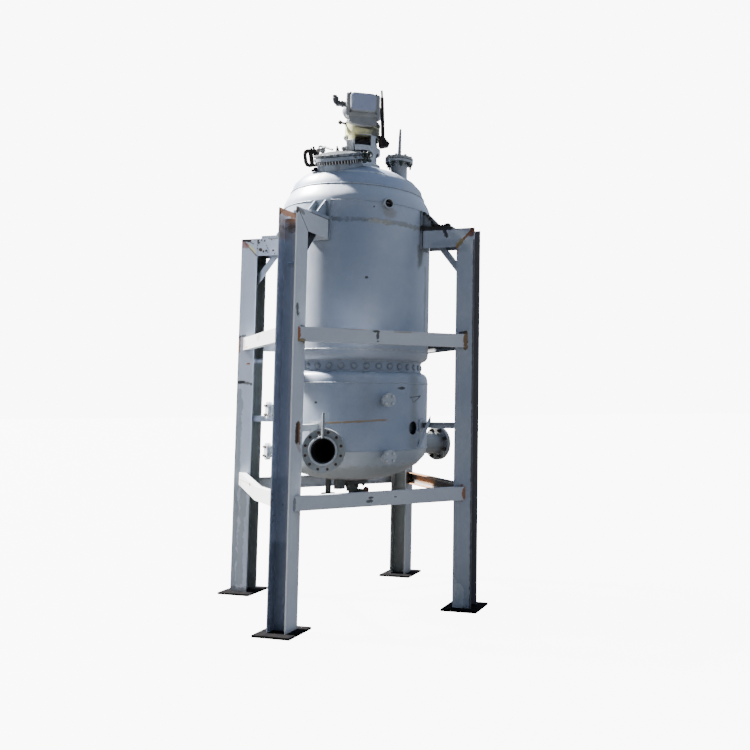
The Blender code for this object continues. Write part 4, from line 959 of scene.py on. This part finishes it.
class TANK_OT_fittings(bpy.types.Operator):
    """Paint the nozzles, the manway, the valve and the pedestal"""
    bl_idname = "tank.fittings"
    bl_label = "Nozzle paint"

    def execute(self, context):
        for name, tint in FITTING_TINT.items():
            coat(name, "fitting", tint, **WORN)
        coat("manway_cover", "fitting", (0.5, 0.52, 0.56), **WORN, shine=0.04, stains=[
            spot(-0.37, -0.28, 3.6, (0.34, 0.3, 0.11), (0.04, 0.042, 0.046), 0.85, 1.5, 0.3, 30)])
        coat("agitator_pedestal", "fitting", **WORN, stains=[
            spot(-0.125, -0.09, 3.845, (0.1, 0.075, 0.07), (0.68, 0.66, 0.34), 1, 0.25, 0.1),
            # painted shade: two near-black ovals for the dark openings of the pedestal's windows
            spot(0.105, -0.128, 3.79, (0.016, 0.03, 0.04), (0.012, 0.011, 0.013), 1, 0.4),
            spot(0.112, -0.122, 3.645, (0.013, 0.03, 0.044), (0.012, 0.011, 0.013), 1, 0.4)])
        mouth = radial(*MAIN_NOZZLE, MAIN_FACE) + UP * 0.02
        coat("main_nozzle", "fitting", (0.5, 0.51, 0.49), fading=0.22, dirt=0.6, runs=0.2, rust=0.09,
             age=0.8, stains=[spot(*mouth, (0.135, 0.135, 0.135), "soot", 0.35, 0.9, 0.5),
                              # painted shade: a near-black fill down the nozzle's bore
                              line(radial(*MAIN_NOZZLE, 0.44), radial(*MAIN_NOZZLE, 0.79), 0.0935,
                                   (0.0035, 0.0035, 0.004), 1, 0.02, 0.04)])
        coat("upper_stub", "fitting", **WORN, stains=[
            # painted shade: a near-black fill down the stub's bore
            line(radial(*STUB, 0.5), radial(*STUB, 0.6675), 0.0275, (0.004, 0.004, 0.004), 1, 0.02, 0.05)])
        coat("left_nozzle_upper", "fitting", **OPEN_WORN)
        coat("manway_neck", "fitting", (0.52, 0.6, 0.72), **OPEN_WORN)
        for name in ("outlet_nozzle", "drain_pipe", "bottom_stub"):
            coat(name, (0.085, 0.09, 0.088), fading=0.1, dirt=0.6, runs=0.3, rust=0.14, age=0.9, rough=0.6)
        coat("outlet_valve", (0.04, 0.05, 0.048), fading=0.08, dirt=0.6, rust=0.2, age=0.8, rough=0.55,
             stains=[spot(*(ACROSS * 0.118 + UP * 0.88), (0.035, 0.035, 0.035), (0.12, 0.05, 0.04), 0.9)])
        return {"FINISHED"}


class TANK_OT_drive(bpy.types.Operator):
    """Paint the gear housing, the motor with its box and elbow, the side rod and the shaft"""
    bl_idname = "tank.drive"
    bl_label = "Drive paint"

    def execute(self, context):
        coat("gear_housing", "cream", fading=0.1, dirt=0.35, runs=0.3, rust=0.04, rough=0.38, stains=[
            # painted shade: the first and third spots are near-black window openings, the fourth a shadow
            # band under the motor, the last two olive shade on the housing's right
            spot(-0.02, -0.15, 3.803, (0.085, 0.06, 0.03), (0.01, 0.01, 0.013), 1, 0.15, 0.08),
            spot(0.085, -0.135, 3.83, (0.034, 0.05, 0.065), (0.23, 0.235, 0.26), 1, 0.1, 0.08),
            spot(0.13, -0.11, 3.815, (0.026, 0.06, 0.045), (0.01, 0.01, 0.013), 1, 0.1, 0.08),
            spot(0.1, -0.14, 3.935, (0.3, 0.3, 0.022), (0.03, 0.034, 0.028), 0.95, 0.5),
            spot(0.04, -0.17, 3.897, (0.16, 0.12, 0.022), (0.07, 0.068, 0.048), 0.9, 0.6, 0.5),
            spot(0.12, -0.1, 3.865, (0.15, 0.15, 0.06), (0.12, 0.115, 0.075), 0.65, 0.8, 0.6)])
        # the dark band round the motor's foot is painted shade
        coat("motor", "casing", fading=0.15, dirt=0.5, runs=0.3, rough=0.42,
             stains=[spot(0.02, 0, 3.955, (0.22, 0.22, 0.02), "soot", 0.8)])
        coat("terminal_box", (0.25, 0.255, 0.265), fading=0.25, dirt=0.3, runs=0.25, rough=0.34)
        coat("conduit_elbow", (0.085, 0.09, 0.105), fading=0.05, dirt=0.5, rough=0.42)
        dress("side_rod", metal("blackened_steel", (0.012, 0.012, 0.013), (0.034, 0.025, 0.02),
                                0.7, 0.0, 0.4, 0.2))
        dress("agitator_shaft", metal("shaft_steel", (0.04, 0.041, 0.044), (0.09, 0.075, 0.06),
                                      0.5, 0.6, 0.5))
        return {"FINISHED"}


# studs and nuts

class TANK_OT_neck_studs(bpy.types.Operator):
    """Add the row of round studs on the neck between the two jackets"""
    bl_idname = "tank.neck_studs"
    bl_label = "Neck studs"

    def execute(self, context):
        fittings = context.scene.tank_fittings
        r = fittings.stud_radius
        place = facing((NECK_RADIUS + 0.0006, 0.0, fittings.stud_z), (1, 0, 0))
        shape = bmesh.new()
        lathe(shape, [(0, 0.0075), (r * 0.55, 0.0068), (r * 0.84, 0.0045), (r * 0.96, 0.002), (r, 0.0004),
                      (r, -0.004), (0, -0.004)], 20, place)
        lathe(shape, [(r * 1.12, -0.003), (r * 1.12, 0.0004), (r * 1.17, 0.0011), (r * 1.22, 0.0004),
                      (r * 1.23, -0.003)], 20, place, closed=True)
        finish = painted("stud_paint", "shell", (0.72, 0.72, 0.72), fading=0.15, dirt=0.45)
        repeat_round("neck_studs", shape, "upper_jacket", finish, fittings.stud_count, -148.3)
        return {"FINISHED"}


def bolt_ring(name, slot, finish, place, ring, count, width, start=0.0, height=None, stud=0.0, below=0.0):
    """Nuts on a flange face, and on its back too where below gives how thick the joint is."""
    shape = bmesh.new()
    nut(shape, width, height or width * 0.7, shift(ring, 0, 0), stud)
    if below:
        nut(shape, width, height or width * 0.7, shift(ring, 0, -below) @ FLIP, stud)
    repeat_round(name, shape, slot, finish, count, start, place=place)


def side_nozzle_place(reach):
    """A frame on the side nozzle's axis, facing out."""
    return facing(Vector((0.58, 0.012, 1.238)) + outward(21) * reach, outward(21))


class TANK_OT_flange_bolts(bpy.types.Operator):
    """Bolt up every flange with nuts and stud ends"""
    bl_idname = "tank.flange_bolts"
    bl_label = "Flange bolts"

    def execute(self, context):
        width = context.scene.tank_fittings.nut_width
        dark = metal("dark_nut_steel", (0.026, 0.026, 0.025), (0.09, 0.06, 0.038), 0.6, 0.35, 0.4)
        green = painted("green_nut_paint", (0.03, 0.046, 0.036), fading=0.05, dirt=0.6, rust=0.1)
        pale = painted("pale_nut_paint", "chalk", fading=0.2, dirt=0.4, rust=0.12)
        # painted shade: dark discs sunk in the main nozzle's bolt holes
        shape = bmesh.new()
        rod(shape, 0.0106, -0.018, -0.0015, 14, shift(0.138, 0, 0))
        repeat_round("main_nozzle_holes", shape, "main_nozzle", dark, 12, 15, 30,
                     around(*MAIN_NOZZLE, MAIN_FACE))
        shape = bmesh.new()
        lathe(shape, [(0.0945, 0), (0.0945, 0.004), (0.0965, 0.006), (0.1075, 0.006), (0.109, 0.0045),
                      (0.109, 0)], 64, around(*MAIN_NOZZLE, MAIN_FACE + 0.0003), closed=True)
        add_piece("main_nozzle_raised_face", "main_nozzle",
                  painted("raised_face", "fitting", fading=0.3, dirt=0.4, rust=0.05), shape)
        for name, finish, place, ring, wide, start, height, stud in (
                ("side_nozzle_nuts", dark, side_nozzle_place(0.2118) @ FLIP, 0.121, 0.026, 22.5, None,
                 0.012),
                ("side_nozzle_bolts", dark, side_nozzle_place(0.2462), 0.121, 0.026, 22.5, 0.012, 0),
                ("top_nozzle_bolts", pale, shift(*TOP_NOZZLE, 3.6872), 0.101, width * 0.8, 10, 0.01, 0),
                ("top_nozzle_nuts", green, shift(*TOP_NOZZLE, 3.6357) @ FLIP, 0.096, width * 1.1, 10, None,
                 0.022)):
            bolt_ring(name, name.rsplit("_", 1)[0], finish, place, ring, 8, wide, start, height, stud)
        for name, finish, place, ring, wide in (
                ("gauge_nozzle_upper", pale, around(-86, 1.62, 0.7132), 0.0385, 0.019),
                ("gauge_nozzle_lower", pale, around(-85, 1.19, 0.7132), 0.0385, 0.019),
                ("left_nozzle_upper", dark, around(178, 1.535, 0.6972), 0.049, 0.018),
                ("left_nozzle_lower", dark, around(178, 1.213, 0.6972), 0.049, 0.018)):
            bolt_ring(name + "_bolts", name, finish, place, ring, 4, wide, 45, 0.0095, 0.004, 0.0354)
        bolt_ring("outlet_bolts", "outlet_nozzle", dark, shift(0, 0, 0.9405) @ FLIP, 0.1, 8, 0.022, 0,
                  0.014, 0.01)
        drain = Matrix.Translation(ACROSS * -0.19 + NEAR * 0.03 + UP * 0.8328)
        bolt_ring("drain_bolts", "drain_pipe", dark, drain @ FLIP, 0.042, 4, 0.018, 20, 0.01, 0.006)
        bolt_ring("motor_flange_nuts", "motor", dark, shift(DRIVE_X, 0, 3.9582), 0.137, 8, 0.016,
                  DRIVE_FACING + 22.5, 0.009, 0.004)
        return {"FINISHED"}


# pits, and dark lumps of painted shade along the right lug's gussets; each row is the distance out, the
# height and the size

ARM_PITS = ((0.904, 2.98, 4.8), (0.87, 2.986, 3.1), (0.84, 2.979, 3.8), (0.9, 2.964, 5.2),
            (0.91, 2.944, 2.8), (0.82, 2.936, 2.8), (0.907, 2.915, 3.4), (0.812, 2.914, 3.1),
            (0.878, 2.903, 7.9), (0.849, 2.887, 4.5), (0.822, 2.892, 5.2), (0.809, 2.876, 2.8),
            (0.755, 2.892, 4.8), (0.74, 2.861, 2.8), (0.773, 2.985, 2.4))
LUG_SHADE_LUMPS = ((0.612, 3.15, 11), (0.63, 3.143, 13), (0.655, 3.12, 12), (0.672, 3.096, 16),
             (0.69, 3.07, 12), (0.702, 3.046, 17), (0.73, 3.038, 14), (0.757, 3.034, 15),
             (0.782, 3.031, 14), (0.806, 3.034, 16), (0.826, 3.043, 12), (0.838, 3.04, 15),
             (0.846, 3.022, 12), (0.77, 3.02, 17), (0.74, 3.02, 17), (0.712, 3.022, 17),
             (0.8, 3.018, 16), (0.826, 3.016, 15))


def lump(shape, middle, k, depth, size):
    """One rough dark lump, shaped and turned by its number."""
    turn = Matrix.Rotation(0.9 * k + depth, 4, "Z") @ Matrix.Rotation(1.3 * k, 4, "X")
    made = bmesh.ops.create_icosphere(shape, subdivisions=2, radius=size * 0.00085)["verts"]
    for vert in made:
        vert.co *= 1.0 + 0.22 * sin(400 * vert.co.x + 3 * k) * cos(330 * vert.co.z + k)
    bmesh.ops.transform(shape, matrix=Matrix.Translation(middle) @ turn, verts=made)


class TANK_OT_frame_scars(bpy.types.Operator):
    """Add the pits on the left arm and the dark lumps of painted shade on the right lug"""
    bl_idname = "tank.frame_scars"
    bl_label = "Frame scars"

    def execute(self, context):
        shape = bmesh.new()
        for k, (out, z, size) in enumerate(ARM_PITS):
            face = facing(on_post("rear_left", out, 0.0752, z), outward(LEG_PLACES["rear_left"] + 90))
            face = face @ Matrix.Rotation(1.7 * k, 4, "Z") @ Matrix.Diagonal((1.0, 1.35, 1.0, 1.0))
            wide = size * 0.0019
            lathe(shape, [(0, 0.0011), (wide * 0.7, 0.001), (wide, 0.0002), (wide * 0.9, -0.001),
                          (0, -0.001)], 7, face)
        add_piece("arm_pits", "leg_rear_left",
                  metal("pit_scale", (0.016, 0.014, 0.013), (0.055, 0.032, 0.022), 0.8, 0.1, 0.4), shape)
        # painted shade: black ragged lumps along the edges of the right lug's gussets
        shape = bmesh.new()
        for k, (out, z, size) in enumerate(LUG_SHADE_LUMPS):
            for depth in (-0.058, -0.03):
                middle = on_post("front_right", out + 0.004 * sin(5 * k), depth + 0.006 * sin(3.1 * k), z)
                lump(shape, middle, k, depth, size)
        add_piece("lug_crust", "lug_front_right",
                  metal("old_sealant", (0.01, 0.01, 0.01), (0.034, 0.032, 0.028), 0.85, 0.0, 0.4), shape)
        return {"FINISHED"}


# manway gear

MANWAY_RIGHT = UP.cross(MANWAY_LEAN).normalized()
MANWAY = frame_of(MANWAY_MIDDLE, MANWAY_RIGHT, MANWAY_LEAN.cross(MANWAY_RIGHT), MANWAY_LEAN)
CLAMP_OUTLINE = ((-0.03, 0.052), (-0.024, 0.078), (0.04, 0.082), (0.066, 0.072), (0.078, 0.044),
                 (0.08, -0.02), (0.07, -0.05), (0.044, -0.062), (-0.018, -0.06), (-0.026, -0.04),
                 (0.036, -0.036), (0.05, -0.024), (0.052, 0.036), (0.044, 0.05))


def at_rim(azimuth, out=0.0, height=0.0):
    """A frame on the rim: X outward, Y along the rim, Z along the neck."""
    return MANWAY @ Matrix.Rotation(radians(azimuth), 4, "Z") @ shift(MANWAY_RIM + out, 0, height)


def screw_clamp(shape, azimuth, lean=0.0):
    """A forged C clamp over the rim, with its pressure screw and a short cross bar."""
    place = at_rim(azimuth) @ Matrix.Rotation(lean, 4, "X")
    sides = [[shape.verts.new(place @ Vector((x, -side, z))) for x, z in CLAMP_OUTLINE]
             for side in (-0.011, 0.011)]
    shape.faces.new(sides[0])
    shape.faces.new(sides[1][::-1])
    join_rings(shape, sides)
    screw = place @ shift(-0.01, 0, 0)
    lathe(shape, [(0, 0.1), (0.0085, 0.098), (0.0085, 0.034), (0.016, 0.032), (0.016, 0.0265), (0, 0.0265)],
          14, screw)
    for side in (-0.03, 0.03):
        lathe(shape, [(0, 0.004), (0.006, 0.002), (0.006, -0.006), (0, -0.008)], 10,
              screw @ shift(0, side, 0.093) @ Matrix.Rotation(pi / 2, 4, "X"))
    bar_between(shape, screw @ Vector((0, -0.03, 0.093)), screw @ Vector((0, 0.03, 0.093)), 0.0042, 10)


def hook_block(shape, azimuth):
    """A dark block hooked over the joint, its bolt and nut standing outside the rim."""
    slab(shape, (0.034, 0.03, 0.108), at_rim(azimuth, 0.019, 0.004), 0.006)
    slab(shape, (0.06, 0.027, 0.018), at_rim(azimuth, -0.006, 0.046), 0.005)
    nut(shape, 0.024, 0.016, at_rim(azimuth, 0.01, 0.057), stud=0.016)


def ring_nut(shape, middle, direction, wide=0.019, thick=0.0068):
    """A ring nut seen through its eye."""
    section = [(wide + thick * cos(radians(40 * i)), thick * sin(radians(40 * i))) for i in range(9)]
    lathe(shape, section, 24, facing(middle, direction), closed=True)


def rim_row(name, finish, size, out, height, start):
    """A row of small blocks under the front of the rim."""
    shape = bmesh.new()
    slab(shape, size, shift(MANWAY_RIM + out, 0, height), 0.002)
    repeat_round(name, shape, "manway_neck", finish, 21, start, 7.2, MANWAY)


class TANK_OT_manway_gear(bpy.types.Operator):
    """Add the clamps, swing bolts, pale lugs with black blocks of painted shade between them, handle and
    clip round the manway, and a near-black drum of painted shade in the pedestal
    """
    bl_idname = "tank.manway_gear"
    bl_label = "Manway gear"

    def execute(self, context):
        black = metal("clamp_iron", (0.011, 0.01, 0.01), (0.032, 0.021, 0.016), 0.62, 0.35, 0.35)
        shape = bmesh.new()
        screw_clamp(shape, 206)
        hook_block(shape, 206)
        hook_block(shape, 118)
        screw_clamp(shape, 158, 0.06)
        add_piece("manway_clamps", "manway_cover", black, shape)

        toward = (NEAR * 0.93 - UP * 0.3).normalized()
        shape = bmesh.new()
        for middle in (Vector((-0.092, -0.424, 3.566)), Vector((-0.042, -0.394, 3.588))):
            ring_nut(shape, middle, toward)
            bar_between(shape, middle - UP * 0.022, middle - UP * 0.06, 0.0085, 10)
            slab(shape, (0.03, 0.022, 0.02), Matrix.Translation(middle - UP * 0.052), 0.004)
        slab(shape, (0.04, 0.016, 0.012), at_rim(348, 0.006, -0.034), 0.003)
        slab(shape, (0.05, 0.016, 0.012), at_rim(8, 0.012, -0.034), 0.003)
        green = painted("eye_paint", (0.022, 0.034, 0.026), fading=0.04, dirt=0.5, rust=0.12)
        add_piece("swing_bolts", "manway_cover", green, shape)

        # painted shade: black blocks in the gaps between the pale tabs under the rim
        rim_row("rim_lugs", black, (0.012, 0.021, 0.017), -0.0118, -0.0445, 212)
        pale = painted("lug_paint", "chalk", fading=0.3, dirt=0.5, rust=0.1)
        shape = bmesh.new()
        slab(shape, (0.04, 0.04, 0.085), MANWAY @ shift(0.098, 0.02, 0.088), 0.006)
        slab(shape, (0.066, 0.018, 0.04), MANWAY @ shift(0.092, 0.02, 0.066), 0.004)
        add_piece("hinge_block", "manway_cover", pale, shape)
        rim_row("rim_tabs", pale, (0.014, 0.007, 0.026), -0.0098, -0.041, 215.6)

        shape = bmesh.new()
        left, middle, right, foot, knob = [MANWAY @ Vector(point) for point in (
            (-0.166, 0.03, 0.086), (-0.11, 0.01, 0.084), (-0.03, -0.03, 0.062), (-0.146, 0.02, 0.05),
            (0.066, -0.03, 0.066))]
        ring_nut(shape, left, toward, 0.013, 0.0065)
        bar_between(shape, left + ACROSS * 0.014, middle, 0.01)
        bar_between(shape, middle, right, 0.0085)
        slab(shape, (0.03, 0.012, 0.064), facing(foot, MANWAY_LEAN) @ Matrix.Rotation(0.5, 4, "Z"), 0.003)
        lathe(shape, [(0, 0.016), (0.014, 0.012), (0.019, 0), (0.014, -0.012), (0.009, -0.02), (0, -0.02)],
              16, facing(knob, MANWAY_LEAN))
        add_piece("cover_handle", "manway_cover",
                  painted("handle_paint", (0.3, 0.315, 0.33), fading=0.3, dirt=0.7, rust=0.12), shape)

        # painted shade: a near-black drum inside the pedestal, so that its windows look dark inside
        shape = bmesh.new()
        lathe(shape, [(0, 3.784), (0.128, 3.784), (0.128, 3.712), (0.06, 3.7), (0.06, 3.6), (0, 3.6)], 32,
              shift(DRIVE_X, 0, 0))
        add_piece("lantern_core", "agitator_shaft",
                  metal("core_iron", (0.01, 0.01, 0.013), (0.02, 0.019, 0.02), 0.7, 0.2, 0.3), shape)

        shape = bmesh.new()
        stand = facing((-0.42, -0.17, head_height(-0.42, -0.17)), (-0.42, -0.17, 0.9))
        slab(shape, (0.016, 0.052, 0.02), stand @ shift(0, 0, 0.01), 0.003)
        slab(shape, (0.03, 0.014, 0.03), stand @ shift(0.004, 0.014, 0.014), 0.003)
        add_piece("head_clip", "top_head", black, shape)
        return {"FINISHED"}


# drive gear

DRIVE_AHEAD = outward(DRIVE_FACING)
DRIVE_SIDE = outward(DRIVE_FACING + 90)


def on_drive(right, front, z):
    """A point by the drive's own facing: right and front of its axis."""
    return Vector((DRIVE_X, 0.0, z)) + DRIVE_SIDE * right + DRIVE_AHEAD * front


def rounded_plate(shape, width, height, thick, corner, place, edge):
    """A plate with round corners and a softened front edge; its back lies on the place's XY plane."""
    outline = []
    for quarter, (right, up) in enumerate(((1, 1), (-1, 1), (-1, -1), (1, -1))):
        middle = Vector((right * (width / 2 - corner), up * (height / 2 - corner), 0.0))
        outline += [(middle, outward(90 * quarter + 90 * k / 8)) for k in range(9)]
    rings = []
    for inset, depth in ((0.0, 0.0), (0.0, thick - edge), (edge * 0.3, thick - edge * 0.3), (edge, thick)):
        rings.append([shape.verts.new(place @ (m + d * (corner - inset) + UP * depth)) for m, d in outline])
    shape.faces.new(rings[0][::-1])
    shape.faces.new(rings[-1])
    join_rings(shape, rings)


class TANK_OT_drive_gear(bpy.types.Operator):
    """Add the lid plate, the breather and the nuts on the elbow"""
    bl_idname = "tank.drive_gear"
    bl_label = "Drive gear"

    def execute(self, context):
        lid = frame_of(on_drive(-0.007, 0.2532, 4.069), DRIVE_SIDE, UP, DRIVE_AHEAD)
        shape = bmesh.new()
        rounded_plate(shape, 0.196, 0.142, 0.005, 0.03, lid, 0.0035)
        add_piece("lid_plate", "terminal_box",
                  painted("lid_paint", "lid", fading=0.15, dirt=0.15, runs=0.2, rough=0.32), shape)
        shape = bmesh.new()
        rounded_plate(shape, 0.212, 0.158, 0.0262, 0.036, lid @ shift(0, 0, -0.027), 0.006)
        add_piece("lid_rim", "terminal_box",
                  painted("rim_paint", (0.3, 0.325, 0.345), fading=0.3, dirt=0.3, rough=0.4), shape)
        shape = bmesh.new()
        for x in (-0.104, 0.104):
            for z in (-0.084, 0.078):
                nut(shape, 0.012, 0.007, lid @ shift(x, z, -0.021))
        add_piece("lid_screws", "terminal_box",
                  metal("screw_steel", (0.1, 0.11, 0.12), (0.09, 0.06, 0.04), 0.45, 0.6, 0.3), shape)

        shape = bmesh.new()
        grip = Vector((DRIVE_X, 0.0, 3.938)) - ACROSS * 0.118 + NEAR * 0.05
        ball = Vector((DRIVE_X, 0.0, 3.946)) - ACROSS * 0.184 + NEAR * 0.06
        bar_between(shape, grip, ball, 0.009)
        lathe(shape, [(0, 0.018), (0.011, 0.0145), (0.0175, 0.005), (0.0175, -0.005), (0.011, -0.0145),
                      (0, -0.018)], 16, facing(ball, ACROSS))
        rod(shape, 0.014, -0.012, 0.02, 12, facing(grip, ACROSS))
        add_piece("breather", "motor",
                  metal("breather_iron", (0.03, 0.03, 0.03), (0.08, 0.06, 0.045), 0.55, 0.4, 0.4), shape)

        shape = bmesh.new()
        lathe(shape, [(0, 0.004), (0.0215, 0.004), (0.024, 0), (0.024, -0.016), (0, -0.016)], 8,
              facing(on_drive(-0.152, 0.19, 4.057), -DRIVE_SIDE))
        rod(shape, 0.0225, -0.02, 0, 8, facing(on_drive(-0.192, 0.19, 4.06), UP * 0.25 - DRIVE_SIDE))
        add_piece("elbow_nuts", "conduit_elbow",
                  painted("elbow_nut_paint", (0.08, 0.085, 0.095), fading=0.03, dirt=0.6), shape)
        bend = [outward(15 * k) * 0.036 for k in range(7)]
        path = [(-0.156, 4.057), (-0.18, 4.057), *((-0.193 - turn.y, 4.093 - turn.x) for turn in bend),
                (-0.229, 4.112)]
        finish = painted("sleeve_paint", (0.06, 0.062, 0.068), fading=0.03, dirt=0.5, rough=0.6)
        route = path_object([on_drive(right, 0.19, z) for right, z in path], False)
        grow("conduit_sleeve", route, "weld_bead", "conduit_elbow", Radius=0.025, Spacing=0.008,
             Unevenness=0.25, Finish=finish)
        return {"FINISHED"}


# welds

def ring_points(radius, z):
    """Points every two degrees round the tank."""
    return [radial(2 * i, z, radius) for i in range(180)]


def saddle_points(azimuth, z, pipe_radius):
    """Where a radial pipe meets the jacket."""
    points = []
    for turn in (outward(7.5 * i) * pipe_radius for i in range(48)):
        out = sqrt(JACKET_RADIUS ** 2 - turn.x ** 2)
        points.append(radial(azimuth, z + turn.y, out) + outward(azimuth + 90) * turn.x)
    return points


def dish_points(x, y, pipe_radius):
    """Where an upright pipe meets the top head."""
    rim = [Vector((x, y, 0.0)) + outward(9 * i) * pipe_radius for i in range(40)]
    return [(point.x, point.y, head_height(point.x, point.y)) for point in rim]


class TANK_OT_welds(bpy.types.Operator):
    """Lay weld beads along the seams of the shells and round the nozzles"""
    bl_idname = "tank.welds"
    bl_label = "Welds"

    def execute(self, context):
        bottom = ring_points(JACKET_RADIUS, 1.229)
        finish = painted("weld_paint", "shell", fading=0.5, dirt=0.5, rust=0.05)
        for name, slot, points, size in (
                ("head_weld", "top_head", ring_points(0.5475, 3.3075), 1.1),
                ("upper_jacket_weld", "upper_jacket", ring_points(JACKET_RADIUS, 2.008), 0.75),
                ("upper_ring_weld", "upper_jacket", ring_points(JACKET_RADIUS, 3.16), 0.6),
                ("lower_jacket_weld", "lower_jacket", ring_points(JACKET_RADIUS, 1.752), 0.75),
                ("bottom_weld", "bottom_head", bottom[-57:] + bottom[:113], 0.7),
                ("neck_top_weld", "upper_jacket", ring_points(0.5475, 1.925), 0.8),
                ("neck_low_weld", "lower_jacket", ring_points(0.5475, 1.841), 0.8),
                ("pedestal_weld", "agitator_pedestal", dish_points(DRIVE_X, 0.0, 0.17), 1.0),
                ("top_nozzle_weld", "top_nozzle", dish_points(*TOP_NOZZLE, 0.0725), 1.0),
                ("stub_weld", "upper_stub", saddle_points(*STUB, 0.042), 0.9),
                ("gauge_upper_weld", "gauge_nozzle_upper", saddle_points(-86, 1.62, 0.019), 0.8)):
            path = path_object(points, name != "bottom_weld")
            grow(name, path, "weld_bead", slot, Radius=context.scene.tank_fittings.weld_radius * size,
                 Spacing=0.01, Unevenness=0.9, Finish=finish)
        return {"FINISHED"}


# studio

def make_floor(studio):
    """A wide pale floor that the camera sees as bright as the backdrop."""
    made, tree, shader, _ = new_material("floor", Base_Color=(*studio.floor, 1.0), Roughness=0.9,
                                         Emission_Color=(1.0, 1.0, 1.0, 1.0))
    seen = tree.nodes.new("ShaderNodeLightPath").outputs["Is Camera Ray"]
    tree.links.new(product(tree, seen, studio.backdrop), shader.inputs["Emission Strength"])
    shape = bmesh.new()
    bmesh.ops.create_grid(shape, x_segments=1, y_segments=1, size=60.0)
    mesh = bpy.data.meshes.new("floor")
    shape.to_mesh(mesh)
    shape.free()
    link_object("floor", mesh, made)


def make_sky(studio):
    """Soft light that is stronger and warmer from the right; the camera sees a plain pale backdrop."""
    world = bpy.data.worlds.new("studio_world")
    bpy.context.scene.world = world
    world.use_nodes = True
    tree = world.node_tree
    tree.nodes.clear()
    view = tree.nodes.new("ShaderNodeTexCoord").outputs["Generated"]
    share = calc(tree, "MULTIPLY_ADD", vector(tree, "DOT_PRODUCT", view, (0.985, 0.174, 0.0)), 0.5, 0.5)
    shade = blend_colour(tree, share, studio.sky, studio.bright_sky)
    power = calc(tree, "MULTIPLY_ADD", share, studio.sky_power * 2 * studio.sky_lean,
                 studio.sky_power * (1 - studio.sky_lean))
    fill = add(tree, "ShaderNodeBackground", {0: shade, 1: power})
    backdrop = add(tree, "ShaderNodeBackground", {0: (1.0, 1.0, 1.0), 1: studio.backdrop})
    seen = tree.nodes.new("ShaderNodeLightPath").outputs["Is Camera Ray"]
    both = add(tree, "ShaderNodeMixShader", {0: seen, 1: fill.outputs[0], 2: backdrop.outputs[0]})
    add(tree, "ShaderNodeOutputWorld", {0: both.outputs[0]})


def make_key(studio):
    """The sun, from behind the tank at the left."""
    data = bpy.data.lights.new("key_light", "SUN")
    data.energy = studio.sun_power
    data.angle = radians(5.0)
    data.color = (1.0, 0.975, 0.93)
    key = link_object("key_light", data)
    rise = cos(studio.sun_height)
    direction = Vector((cos(studio.sun_turn) * rise, sin(studio.sun_turn) * rise, sin(studio.sun_height)))
    key.rotation_euler = direction.to_track_quat("Z", "Y").to_euler()
    key.location = direction * 8.0


def make_camera(studio):
    """The photograph's viewpoint: place, direction and the part of the lens's view that is kept."""
    turn, pitch, roll = radians(30.28), radians(4.58), radians(0.25)
    ahead = Vector((sin(turn) * cos(pitch), cos(turn) * cos(pitch), sin(pitch)))
    right = Vector((cos(turn), -sin(turn), 0.0))
    up = right.cross(ahead)
    data = bpy.data.cameras.new("camera")
    data.lens = studio.lens
    data.sensor_width = 36.0
    data.shift_x = -0.2166
    data.shift_y = -0.0565
    camera = link_object("camera", data)
    camera.matrix_world = frame_of((-2.087, -6.589, 1.644), right * cos(roll) + up * sin(roll),
                                   up * cos(roll) - right * sin(roll), -ahead)
    bpy.context.scene.camera = camera


class TANK_OT_stage(bpy.types.Operator):
    """Set up the pale floor, the soft light and the camera"""
    bl_idname = "tank.stage"
    bl_label = "Studio"

    def execute(self, context):
        for make in (make_floor, make_sky, make_key, make_camera):
            make(context.scene.tank_studio)
        return {"FINISHED"}


class TANK_PT_panel(bpy.types.Panel):
    """Every step of the tank's finish, in order"""
    bl_idname = "TANK_PT_panel"
    bl_label = "Stirred tank"
    bl_space_type = "VIEW_3D"
    bl_region_type = "UI"
    bl_category = "Tank"

    def draw(self, context):
        for step_name in STEPS:
            self.layout.operator("tank." + step_name)
        for group in SETTINGS:
            box = self.layout.box()
            for label in SETTINGS[group].__annotations__:
                box.prop(getattr(context.scene, group), label)


STEPS = ("shells", "steelwork", "frame_scars", "fittings", "drive", "neck_studs", "flange_bolts",
         "manway_gear", "drive_gear", "welds", "stage")
SETTINGS = {"tank_paint": TankPaint, "tank_fittings": TankFittings, "tank_studio": TankStudio}
CLASSES = (*SETTINGS.values(), TANK_OT_shells, TANK_OT_steelwork, TANK_OT_frame_scars, TANK_OT_fittings,
           TANK_OT_drive, TANK_OT_neck_studs, TANK_OT_flange_bolts, TANK_OT_manway_gear, TANK_OT_drive_gear,
           TANK_OT_welds, TANK_OT_stage, TANK_PT_panel)


def register():
    for cls in CLASSES:
        bpy.utils.register_class(cls)
    for name, group in SETTINGS.items():
        setattr(bpy.types.Scene, name, PointerProperty(type=group))


def unregister():
    for name in SETTINGS:
        delattr(bpy.types.Scene, name)
    for cls in reversed(CLASSES):
        bpy.utils.unregister_class(cls)


def main():
    register()
    for make in (make_patches, make_runs, make_band, make_spot, make_line, make_skin, make_rust,
                 make_ring_tree, make_bead_tree):
        make()
    for step_name in STEPS:
        getattr(bpy.ops.tank, step_name)()


if __name__ == "__main__":
    main()
